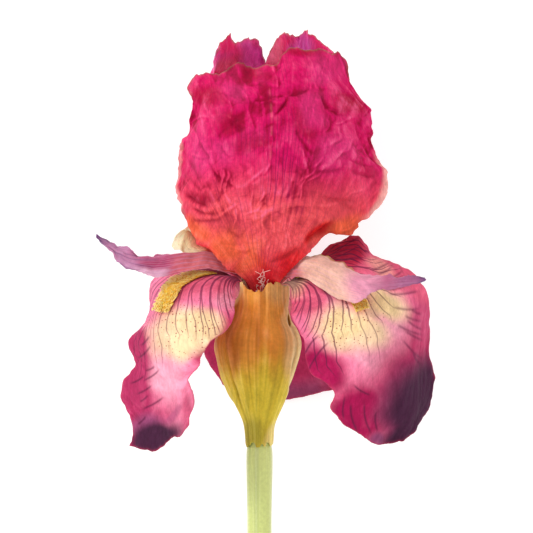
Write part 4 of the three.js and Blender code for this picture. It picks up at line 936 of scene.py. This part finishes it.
class IRIS_OT_falls(bpy.types.Operator):
    """Three hanging petals: veined haft, cream patch with specks, pink blade and plum tip"""

    bl_idname = "iris.falls"
    bl_label = "Falls"

    def execute(self, context):
        sizes, colours = context.scene.iris_sizes, context.scene.iris_falls
        # Petal tissue of a hanging petal: velvety, with pigment drawn along the veins of the haft.
        layers = [(zone, getattr(colours, zone)) for zone in
                  ("light", "wing", "deep", "haft", "cream", "gold", "maroon", "mauve", "plum", "rim")]
        layers.append(("streak", colours.vein))
        veins = [
            ("haft_veins", colours.vein, {"Count": 13.0, "Width": 0.8, "Start": 0.03, "Fork": 0.2, "End": 0.7,
                                          "Spread": 0.24, "Waver": 0.6, "Flare": 1.35}),
            ("wing_veins", colours.vein, {"Count": 14.0, "Width": 0.7, "Start": 0.2, "Fork": 0.3, "End": 0.85,
                                          "Spread": 0.3, "Waver": 1.2}),
        ]
        material = tissue("fall_petal_tissue", colours.base, layers, veins, ("specked", colours.speck, 1.25),
                          fibre=(0.35, 6.0), grain=0.09)
        shared = {"thickness": sizes.petal / MM, "crumpled": 0.5 * sizes.crumple / MM,
                  "frill": 0.7 * sizes.frill / MM, "ragged": 0.35}
        left = blade(FALL_LEFT_RIBS, 180, 240, seed=41, waves=(0.8, 5, 0.3), trim=FALL_LEFT_TRIM,
                     flare=FALL_LEFT_FLARE, **shared)
        right = blade(FALL_RIGHT_RIBS, 190, 240, seed=43, waves=(0.8, 5, 0.15), trim=FALL_RIGHT_TRIM,
                      flare=FALL_RIGHT_FLARE, **shared)
        back = blade(FALL_BACK_RIBS, 110, 130, seed=47, waves=(1.0, 4, 0.2), trim=FALL_BACK_TRIM, floor=REST - 0.1,
                     **shared)
        for name, made in (("fall_left", left), ("fall_right", right), ("fall_back", back)):
            blade_piece(name + "_petal", made, self.zones(name, made), material, [name])
        return {"FINISHED"}

    @staticmethod
    def zones(name, made):
        """Weights of the colours over one fall, from soft ellipses in the flower's plane and shares of the blade."""
        middle, _, across, along, fields = made
        x, y, side = middle[..., 0], middle[..., 1], np.abs(across)
        wx, wy = x + 2.0 * noise(x / 6, y / 6, 61), y + 2.0 * noise(x / 7, y / 7, 62)
        zones = dict.fromkeys(("light", "wing", "deep", "cream", "gold", "maroon", "mauve", "plum", "wing_veins",
                               "specked", "streak"), np.zeros_like(x))
        zones.update(haft=ease(0.42, 0.25, along), rim=0.7 * fields["rim"],
                     haft_veins=0.9 * (1 - ease(0.9, 1, side)), thin=0.2 * ease(0.6, 1, side))
        zones.update({zone: spots(wx, wy, rows) for zone, rows in FALL_SPOTS[name].items()})
        if name in FALL_STREAKS:
            zones["streak"] = 0.8 * np.max([crease(0.8 * x + 0.2 * wx, 0.8 * y + 0.2 * wy, start, end, 0.36)
                                            for start, end in FALL_STREAKS[name]], axis=0)
        if name == "fall_left":
            zones["haft"] = (ease(-8, -2, wy) * ease(-39, -33, wx)
                             * (1 - 0.6 * spot(wx, wy, (-13, -6), (4, 6))))
            zones["wing"] = np.maximum(zones["wing"], ease(-37.5, -42.5, wx) * ease(-14, -18, wy))
            # Painted shade: the rolled near margin is painted deep magenta.
            zones["deep"] = np.maximum(zones["deep"], ease(-0.75, -0.97, across) * band(0.3, 0.42, 0.65, 0.75, along))
        if name == "fall_right":
            zones["haft"] = np.maximum(ease(-15, -7, wy) * ease(27, 20, wx),
                                       ease(0, 5, wy + 0.35 * (wx - 40)))
            zones["wing"] = 0.75 * ease(52, 61, wx - 0.1 * wy) * ease(4, -3, wy)
            zones["wing_veins"] = zones["maroon"]
        if name == "fall_back":
            zones["wing"] = ease(-8, -20, wy)
            zones["mauve"] = ease(-34, -44, wy)
        return zones


class IRIS_OT_style_arms(bpy.types.Operator):
    """Three style arms: petal-like straps over the falls with toothed, twisted crests"""

    bl_idname = "iris.style_arms"
    bl_label = "Style arms"

    def execute(self, context):
        sizes, colours = context.scene.iris_sizes, context.scene.iris_style_arms
        # Tissue of a style arm: stiffer than a petal, faintly glossy, cream to lilac.
        layers = [(zone, getattr(colours, zone)) for zone in
                  ("throat", "cream", "rosy", "wine", "pale", "lilac", "ridge", "olive", "plum")]
        veins = [("veined", colours.lilac, {"Count": 5.0, "Width": 0.35, "Start": 0.05, "Fork": 0.3, "End": 0.95,
                                            "Spread": 0.2, "Waver": 0.4})]
        material = tissue("style_arm_tissue", colours.base, layers, veins, fibre=(0.5, 9.0), grain=0.08, roughness=0.5)
        shared = {"thickness": sizes.petal / MM, "crumpled": 0.25 * sizes.crumple / MM,
                  "frill": 1.1 * sizes.frill / MM, "ragged": 1.5, "calm": 0.85}
        for name, ribs, flare, seed in (("style_arm_left", STYLE_ARM_LEFT_RIBS, STYLE_ARM_LEFT_FLARE, 71),
                                        ("style_arm_right", STYLE_ARM_RIGHT_RIBS, (), 73),
                                        ("style_arm_back", STYLE_ARM_BACK_RIBS, (), 79)):
            made = blade(ribs, 60, 150, seed=seed, floor=REST, flare=flare, **shared)
            blade_piece(name + "_strap", made, self.zones(name, made), material, [name])
        return {"FINISHED"}

    @staticmethod
    def zones(name, made):
        """Weights of the colours over one style arm, from shares of its length and width."""
        middle, _, across, along, _ = made
        v = along + 0.04 * noise(middle[..., 0] / 4, middle[..., 1] / 4, 81)
        right = name == "style_arm_right"
        zones = dict.fromkeys(("cream", "rosy", "pale", "ridge", "olive"), np.zeros_like(v))
        zones.update(throat=ease(0.3, 0.1, v), wine=ease(0.42, 0.6, v), plum=ease(0.93, 1.0, v),
                     lilac=0.9 * ease(0.66, 0.82, v), veined=np.full_like(v, 0.25 if right else 0.5),
                     thin=np.full_like(v, 0.3))
        if name == "style_arm_left":
            zones["pale"] = ease(-0.6, -0.8, across) * band(0.5, 0.6, 0.75, 0.85, v)
            zones["plum"] = np.maximum(zones["plum"], 0.6 * ease(0.2, 0.7, noise(across * 5, v * 9, 83))
                                       * ease(0.6, 0.72, v))
        if right:
            rim = ease(-0.8, -0.95, across)
            zones.update(throat=0.7 * ease(0.12, 0.02, v), cream=ease(0.22, 0.36, v),
                         rosy=ease(0.54, 0.68, v), wine=ease(0.74, 0.84, v),
                         plum=np.maximum(zones["plum"], 0.5 * ease(0.84, 0.96, v)),
                         lilac=0.3 * ease(0.7, 0.9, v),
                         ridge=rim * band(0.38, 0.46, 0.6, 0.68, v),
                         olive=rim * band(0.25, 0.32, 0.4, 0.46, v))
        return zones


class IRIS_OT_beards(bpy.types.Operator):
    """Beards: a low strip along the middle of each fall, dense with short tapered hairs"""

    bl_idname = "iris.beards"
    bl_label = "Beards"

    def execute(self, context):
        sizes, colours = context.scene.iris_sizes, context.scene.iris_plant
        # Beard hairs: soft fleshy hairs, matt yellow with lighter ends.
        material = tissue("beard_hair_tissue", colours.beard, [("tip", colours.beard_tip)], fibre=(0.4, 2.0),
                          grain=0.08, roughness=0.8, glow=0.6)
        for name, ribs, reach, breadth, seed in (("beard_left", FALL_LEFT_RIBS, (0.17, 0.46), 0.16, 91),
                                                 ("beard_right", FALL_RIGHT_RIBS, (0.13, 0.49), 0.11, 93),
                                                 ("beard_back", FALL_BACK_RIBS, (0.15, 0.4), 0.17, 97)):
            self.build(name, ribs, reach, breadth, seed, sizes.hair / MM, material)
        return {"FINISHED"}

    @staticmethod
    def build(name, ribs, reach, breadth, seed, hair, material):
        """A strip of half width breadth sin(pi (0.12 + 0.58 t))^0.5 of the fall's, raised off it, and hairs that stand
        on scattered places of it and lean forward: tapered four-sided tubes along a bent line."""
        cells, rows, count = 12, 60, 1500
        s, t = np.linspace(-1, 1, cells + 1), np.linspace(0, 1, rows + 1)
        fine = net(ribs, np.linspace(-0.2, 0.2, 41), reach[0] + (reach[1] - reach[0]) * t)
        width = breadth * np.sin(math.pi * (0.12 + 0.58 * t)) ** 0.5
        place = (s[None, :] * width[:, None] / 0.2 + 1) * 20
        low = np.clip(place.astype(int), 0, 39)
        share = (place - low)[..., None]
        row = np.arange(rows + 1)[:, None]
        strip = fine[row, low] * (1 - share) + fine[row, low + 1] * share
        normal = normals(strip)
        forward = unit(np.gradient(strip, axis=0))
        crown = np.cos(s * math.pi / 2)[None, :] * np.minimum(1, 8 * t * (1 - t))[:, None]
        core, faces = shell(strip + (0.75 + 0.5 * crown[..., None]) * normal, 0.5 + 0.5 * crown)
        faces = faces.tolist()
        # Hairs stand where scattered shares of the strip fall.
        k = np.arange(count)
        a, b = scatter(k, 1, seed), scatter(k, 2, seed)
        j, i = (b * rows).astype(int), (a * cells).astype(int)
        root = strip[j, i] + (scatter(k, 3, seed)[:, None] - 0.5) * (strip[j, i + 1] - strip[j, i])
        up = normal[j, i]
        lean = unit(up + (0.5 + 0.5 * scatter(k, 4, seed))[:, None] * forward[j, i]
                    + 0.9 * (a - 0.5)[:, None] * np.cross(forward[j, i], up))
        size = hair * (0.65 + 0.45 * scatter(k, 5, seed)) * (0.35 + 0.65 * ease(0, 0.25, b))
        station = np.linspace(0, 1, 4)[None, :, None]
        ahead = forward[j, i]
        bent = unit(lean[:, None] + 0.4 * station * ahead[:, None])
        path = (root + 0.6 * up)[:, None] + station * size[:, None, None] * bent
        side = unit(np.cross(ahead, lean))
        over = unit(np.cross(lean, side))
        width = np.linspace(1, 0.35, 4)[None, :] * (0.2 + 0.06 * scatter(k, 6, seed))[:, None]
        hairs, more = tubes(path, width, 4, np.repeat(side[:, None], 4, 1), np.repeat(over[:, None], 4, 1))
        points = np.concatenate([core, hairs])
        faces += (np.array(more) + len(core)).tolist()
        tip = np.concatenate([np.zeros(len(core)), np.tile(np.repeat(np.linspace(0, 1, 4), 4), count)])
        # fold: the hair ends are painted lighter and paler than the roots, a painted highlight.
        fields = {"tip": tip, "wide": points[:, 0], "long": points[:, 1], "fold": 0.62 + 0.3 * tip}
        piece(name + "_hairs", points, faces, material, [name], fields)


# ---- Stem, bracts and the heart of the flower -----------------------------------------------------------------

def axis_x(y):
    """The axis leans from the stem to the throat, by a smoothstep between -45 and the claws' foot."""
    return STEM_LEAN * ease(CLAW_FOOT, -45, y)


def turned(profile, sides, rings, wave=lambda angle, y: 0 * angle):
    """Points and faces of a closed solid turned round the axis: the profile of [y, radius] points as a smooth
    curve, each radius made larger by the share that wave gives at its angle and height."""
    line = by_length([[y, radius] for y, radius in profile], np.linspace(0, 1, rings))
    angle = TAU * np.arange(sides) / sides
    y = np.repeat(line[:, :1], sides, axis=1)
    r = line[:, 1:] * (1 + wave(angle[None, :], y))
    points = np.stack([axis_x(y) + r * np.sin(angle), y, r * np.cos(angle)], axis=-1)
    faces = strips(rings, sides, True).tolist()
    ends = [list(range(sides))[::-1], list(range((rings - 1) * sides, rings * sides))]
    fields = {"wide": r * angle, "long": y, "fold": np.full_like(r, 0.6)}
    return points.reshape(-1, 3), faces + ends, fields, np.broadcast_to(angle, r.shape), y


class IRIS_OT_stem(bpy.types.Operator):
    """The round green stem, faintly ribbed, with a plain cut end"""

    bl_idname = "iris.stem"
    bl_label = "Stem"

    def execute(self, context):
        colours = context.scene.iris_plant
        # Stem skin: smooth, waxy, with pale lengthwise streaks and green shoulders; a thin painted highlight runs
        # along it left of the top, and both sides are painted lighter.
        material = tissue("stem_skin", colours.stem, [("shade", colours.stem_dark), ("streak", colours.stem_streak_and_highlight)],
                          fibre=(0.35, 30.0), grain=0.06, bump=0.2, roughness=0.45, shine=0.3)
        profile = [[STEM_CUT, 4.45], [STEM_CUT + 0.6, 4.75], [-120, 4.7], [-90, 4.65], [-61.7, 4.75], [-60.9, 4.35],
                   [-56, 4.35]]

        def ribs(angle, y):
            return 0.012 * np.cos(11 * angle) + 0.012 * noise(angle * 3, y / 22, 101)

        points, faces, fields, angle, y = turned(profile, sides=64, rings=120, wave=ribs)
        # streak: a thin painted highlight left of the top, pale streaks at random, and painted light on both sides.
        fields["streak"] = (0.9 * np.exp(-((angle - TAU + 0.25) / 0.05) ** 2)
                            + 0.5 * ease(0.2, 0.8, noise(angle * 5, y / 40, 102))
                            + 0.8 * ease(0.75, 1.0, np.abs(np.sin(angle))))
        fields["shade"] = 0.5 * ease(0.1, 0.7, noise(angle * 4, y / 50, 103))
        piece("stem_stalk", points, faces, material, ["stem"], fields)
        return {"FINISHED"}


class IRIS_OT_bracts(bpy.types.Operator):
    """Two papery bracts that clasp the stem and swell round the ovary"""

    bl_idname = "iris.bracts"
    bl_label = "Bracts"

    def execute(self, context):
        sizes, colours = context.scene.iris_sizes, context.scene.iris_plant
        # Dry bract: papery, finely fibred lengthwise, ochre where the flower's tube glows through it.
        layers = [("low", colours.bract_low), ("top", colours.bract_peach_and_painted_light), ("dry", colours.bract_dry),
                  ("green", colours.bract_green), ("pale", colours.bract_pale)]
        material = tissue("bract_paper", colours.bract, layers, fibre=(0.3, 20.0), grain=0.08, bump=0.4,
                          roughness=0.6, shine=0.12)
        thickness = sizes.bract / MM
        outer = self.surface((-84, 84), (-112, 49), (-46, 72), 0.0, 130, 200, 111,
                             lambda turn: 0.925 + 0.06 * ease(-22, -40, turn) + 0.06 * ease(2, 16, turn)
                             + 0.012 * noise(turn / 4, 0 * turn, 116),
                             ((-90, 9, 0.9), (-66, 5, 0.9), (-50, 4, -0.9), (-32, 4, 0.6), (-8, 3, -0.3), (14, 3, 0.3),
                              (32, 3.5, -0.4)))
        inner = self.surface((96, 264), (33, 262), (85, 230), 1.3, 120, 150, 113, lambda turn: 0.82 + 0 * turn,
                             ((48, 5, 0.7), (62, 4, -0.6)))
        for name, made in (("bract_outer", outer), ("bract_inner", inner)):
            middle, across, along, fields = made
            x, y = middle[..., 0], middle[..., 1]
            inner_one = 1.0 if name == "bract_inner" else 0.0
            blotched = 0.8 + 0.2 * noise(x / 2.5, y / 8, 118)
            zones = {
                # top: peach at the upper end, and two spots of painted light over shade, on the upper right where the
                # standard casts it and on the left.
                "top": blotched * np.max([0.7 * ease(-9, -3, y + noise(x / 2, y / 9, 117)),
                                          spot(x, y, (9, -11), (7, 15)), 0.6 * spot(x, y, (-6, -22), (4, 9))], axis=0),
                "low": ease(-19, -39, y + 4 * noise(x / 1.8, y / 24, 114)),
                "dry": (0.55 * ease(0.1, 0.8, noise(x / 1.4, y / 18, 115)) * ease(-36, -24, y)
                        + 0.55 * ease(6, 10, np.abs(x)) * ease(-38, -28, y)) * (1 - inner_one),
                "green": np.maximum(0.4 * ease(0.2, 0.8, noise(x / 0.9, y / 22, 119)) * ease(-30, -46, y),
                                    0.8 * spot(x, y, (-3, -57), (4, 7))),
                "pale": np.max([ease(0.9, 0.99, np.abs(across)) * 0.8, 0.85 * inner_one + 0 * x,
                                0.35 * spot(x, y, (7, -1), (5, 6)), 0.5 * spot(x, y, (4.5, -57), (2.5, 6), -20),
                                0.5 * ease(0.75, 0.9, np.abs(across)) * ease(-40, -30, y)], axis=0),
            }
            blade_piece(name + "_valve", (middle, np.full_like(x, thickness), across, along, fields), zones, material,
                        [name])
        return {"FINISHED"}

    @staticmethod
    def surface(foot, wrap, tip, inset, cells, rows, seed, crown, folds):
        """A half shell: at shares across and up, the angle round the axis goes from the foot's range to the wrap's
        and then to the tip's, and the half widths follow the bracts' profile, less an inset. The foot is ragged by
        a millimetre of noise. Lengthwise pleats and fine wrinkles are added along its normals, and so are sharp
        folds, each given by its angle and width in degrees and its height in millimetres."""
        across, up = np.meshgrid(np.linspace(-1, 1, cells + 1), np.linspace(0, 1, rows + 1))
        share = (across + 1) / 2
        to_wrap, to_tip = ease(0.2, 0.5, up), ease(0.68, 0.95, up)
        turn = ((foot[0] + (foot[1] - foot[0]) * share) * (1 - to_wrap)
                + (wrap[0] + (wrap[1] - wrap[0]) * share) * to_wrap)
        turn = turn * (1 - to_tip) + (tip[0] + (tip[1] - tip[0]) * share) * to_tip
        at = spline(BRACT_PROFILE, (up * crown(turn)).ravel()).reshape(*up.shape, 3)
        inward = inset * ease(0, 0.2, up)
        angle = np.radians(turn)
        middle = np.stack([axis_x(at[..., 1]) + (at[..., 0] - inward) * np.sin(angle), at[..., 1],
                           (at[..., 2] - inward) * np.cos(angle)], axis=-1)
        wide = angle * 13
        long = middle[..., 1] - CLAW_FOOT
        grown = ease(0.0, 0.15, up)
        bent = turn + 5 * noise(long / 9, 0 * long, seed + 3) + 2 * noise(long / 3.5, 0 * long, seed + 4)
        pleats = 0.6 * noise(turn / 13, long / 30, seed) + 0.4 * noise(turn / 4, long / 18, seed + 1)
        sharp = sum(height * np.exp(-np.abs((bent - place) / width)) * ease(0.1, 0.35, up)
                    * (0.7 + 0.5 * noise(long / 7, 0 * long + place, seed + 5)) for place, width, height in folds)
        wrinkles = noise(wide / 2.6 + long / 9, long / 3.4, seed + 2)
        rise = grown * (0.3 * pleats + 0.14 * wrinkles + sharp)
        middle = middle + rise[..., None] * normals(middle)
        middle[..., 1] += ease(0.05, 0, up) * 1.1 * noise(turn / 11, 0 * turn, seed + 6)
        fibres = 0.5 * noise(wide / 0.6, long / 26, seed + 7) + 0.4 * noise(wide / 1.3, long / 20, seed + 8)
        # fold: painted shade and highlight of the pleats, wrinkles and sharp folds, with the fibres' own streaks.
        fields = {"wide": wide, "long": long, "thin": np.full_like(wide, 0.45),
                  "fold": 0.55 + 0.5 * np.clip(0.5 * pleats + 0.3 * wrinkles + 1.2 * sharp + fibres, -1, 0.9)}
        return middle, across, up, fields


class IRIS_OT_heart(bpy.types.Operator):
    """What stands inside the flower: ovary, tube, style column and three stamens"""

    bl_idname = "iris.heart"
    bl_label = "Heart of the flower"

    def execute(self, context):
        colours = context.scene.iris_plant
        # Waxy inner tissue, pale green on the ovary and cream above it.
        green = tissue("ovary_skin", colours.stem_dark, [], fibre=(0.4, 6.0), roughness=0.4, shine=0.3)
        cream = tissue("tube_skin", colours.tube, [], fibre=(0.4, 8.0), roughness=0.45, shine=0.3)
        pollen = tissue("stamen_skin", colours.pollen, [], fibre=(0.3, 1.2), grain=0.2, roughness=0.8)
        solids = [
            ("ovary", "ovary", green, [[-55.7, 3.6], [-53, 4.3], [-48, 4.6], [-43, 4.4], [-38, 3.2]], 0.06),
            ("perianth_tube", "tube", cream,
             [[-37.7, 3.2], [-30, 3.4], [-20, 4.2], [-12, 6], [-7.5, 8.4], [-4.8, 9.3]], 0.02),
            ("style_column", "tube", cream, [[-4.5, 2.5], [-2, 2.7], [0, 2.8], [1.6, 1.4]], 0.0),
        ]
        for name, slot, material, profile, lobes in solids:
            points, faces, fields, _, _ = turned(profile, 36, 40, lambda angle, _: lobes * np.cos(3 * angle))
            piece(name + "_body", points, faces, material, [name], fields)
        for name, ribs, foot, reach in (("stamen_left", STYLE_ARM_LEFT_RIBS, (-4.1, 0.6), 0.46),
                                        ("stamen_right", STYLE_ARM_RIGHT_RIBS, (3.9, 2.2), 0.46),
                                        ("stamen_back", STYLE_ARM_BACK_RIBS, (0.4, -4.6), 0.6)):
            self.stamen(name, ribs, foot, reach, pollen)
        return {"FINISHED"}

    @staticmethod
    def stamen(name, ribs, foot, reach, material):
        """A flattened tube that hangs 1.8 mm below the keel of a style arm: the half width goes from 0.7 for the
        filament to 1.3 for the anther by a smoothstep and tapers at the tip."""
        arm = net(ribs, np.linspace(-1, 1, 9), np.linspace(0, 1, 21))
        under = (arm - 1.8 * normals(arm))[2:round(reach * 20), 4]
        t = np.linspace(0, 1, 48)
        path = by_length(np.concatenate([[[foot[0], CLAW_FOOT, foot[1]]], under]), t)
        forward = unit(np.gradient(path, axis=0))
        side = unit(np.cross([0, 1, 0], forward))
        over = unit(np.cross(forward, side))
        width = (0.7 + 0.6 * ease(0.45, 0.6, t)) * (1 - 0.65 * ease(0.9, 1, t))
        points, faces = tubes(path[None], width[None], 12, side[None], 0.6 * over[None])
        points[:12, 1] = CLAW_FOOT
        fields = {"wide": points[:, 0], "long": points[:, 1], "fold": np.full(len(points), 0.6)}
        piece(name + "_anther", points, faces, material, [name], fields)


# ---- Stage ----------------------------------------------------------------------------------------------------

class IRIS_OT_stage(bpy.types.Operator):
    """A pale floor under soft light, and a camera that looks straight down"""

    bl_idname = "iris.stage"
    bl_label = "Stage"

    def execute(self, context):
        scene = context.scene
        # Matt white paper, with a grain too fine to see.
        paper = bpy.data.materials.new("backdrop_paper")
        paper.use_nodes = True
        tree = paper.node_tree
        tree.nodes.clear()
        place = node(tree, "TexCoord")["Object"]
        grain = node(tree, "TexNoise", {"Vector": place, "Scale": 900.0})[0]
        bump = node(tree, "Bump", {"Height": grain, "Strength": 0.1, "Distance": 0.1 * MM})[0]
        skin = node(tree, "BsdfPrincipled", {
            "Base Color": linear("#C4C4C4"), "Roughness": 0.9, "Specular IOR Level": 0.1, "Normal": bump,
            "Emission Color": (1, 1, 1, 1), "Emission Strength": 0.62})[0]
        node(tree, "OutputMaterial", {"Surface": skin})
        mesh = bpy.data.meshes.new("floor")
        reach = 3.0  # half the floor's width in metres
        corners = [(-reach, -reach, 0), (reach, -reach, 0), (reach, reach, 0), (-reach, reach, 0)]
        mesh.from_pydata(corners, [], [(0, 1, 2, 3)])
        mesh.materials.append(paper)
        floor = bpy.data.objects.new("floor", mesh)
        scene.collection.objects.link(floor)

        world = bpy.data.worlds.new("studio")
        world.use_nodes = True
        world.node_tree.nodes.clear()
        sky = node(world.node_tree, "Background", {"Color": (1, 1, 1, 1), "Strength": 0.92})[0]
        node(world.node_tree, "OutputWorld", {"Surface": sky})
        scene.world = world
        # A small key lamp draws the creases from above and the left; a wide, weak one softens their shadows.
        for name, place, power, size in (("key", (-1.1, 0.9, 0.95), 11.5, 0.4), ("fill", (1.1, -0.5, 1.2), 3.5, 1.2)):
            light = bpy.data.lights.new(name, "AREA")
            light.energy, light.size = power, size
            lamp = bpy.data.objects.new(name, light)
            lamp.location = place
            lamp.rotation_euler = (-lamp.location).to_track_quat("-Z", "Y").to_euler()
            scene.collection.objects.link(lamp)

        lens = bpy.data.cameras.new("camera")
        lens.sensor_width, lens.lens = 36.0, 266.6
        camera = bpy.data.objects.new("camera", lens)
        # It hangs 1.5 m above the flower's axis, so that near petals look hardly larger than far ones.
        camera.location = ((THROAT[0] + AIM[0]) * MM, (THROAT[1] + AIM[1]) * MM, 1.5 + THROAT[2] * MM)
        scene.collection.objects.link(camera)
        scene.camera = camera
        scene.view_settings.view_transform = "Standard"
        return {"FINISHED"}


class IRIS_PT_flower(bpy.types.Panel):
    """Lists the flower's steps and settings"""

    bl_label = "Bearded iris"
    bl_idname = "IRIS_PT_flower"
    bl_space_type = "VIEW_3D"
    bl_region_type = "UI"
    bl_category = "Iris"

    def draw(self, context):
        for step in STEPS:
            self.layout.operator(step.bl_idname)
        for name, group in SETTINGS.items():
            box = self.layout.box()
            for key in group.__annotations__:
                box.prop(getattr(context.scene, name), key)


STEPS = (IRIS_OT_stem, IRIS_OT_bracts, IRIS_OT_heart, IRIS_OT_falls, IRIS_OT_beards, IRIS_OT_style_arms,
         IRIS_OT_standards, IRIS_OT_stage)
SETTINGS = {"iris_sizes": IrisSizes, "iris_standards": StandardColours, "iris_falls": FallColours,
            "iris_style_arms": StyleArmColours, "iris_plant": PlantColours}


def register():
    for group in SETTINGS.values():
        bpy.utils.register_class(group)
    for name, group in SETTINGS.items():
        setattr(bpy.types.Scene, name, bpy.props.PointerProperty(type=group))
    for part in (*STEPS, IRIS_PT_flower):
        bpy.utils.register_class(part)


def unregister():
    for part in (IRIS_PT_flower, *reversed(STEPS)):
        bpy.utils.unregister_class(part)
    for name, group in SETTINGS.items():
        delattr(bpy.types.Scene, name)
        bpy.utils.unregister_class(group)


def main():
    register()
    for step in STEPS:
        group, call = step.bl_idname.split(".")
        getattr(getattr(bpy.ops, group), call)()


if __name__ == "__main__":
    main()
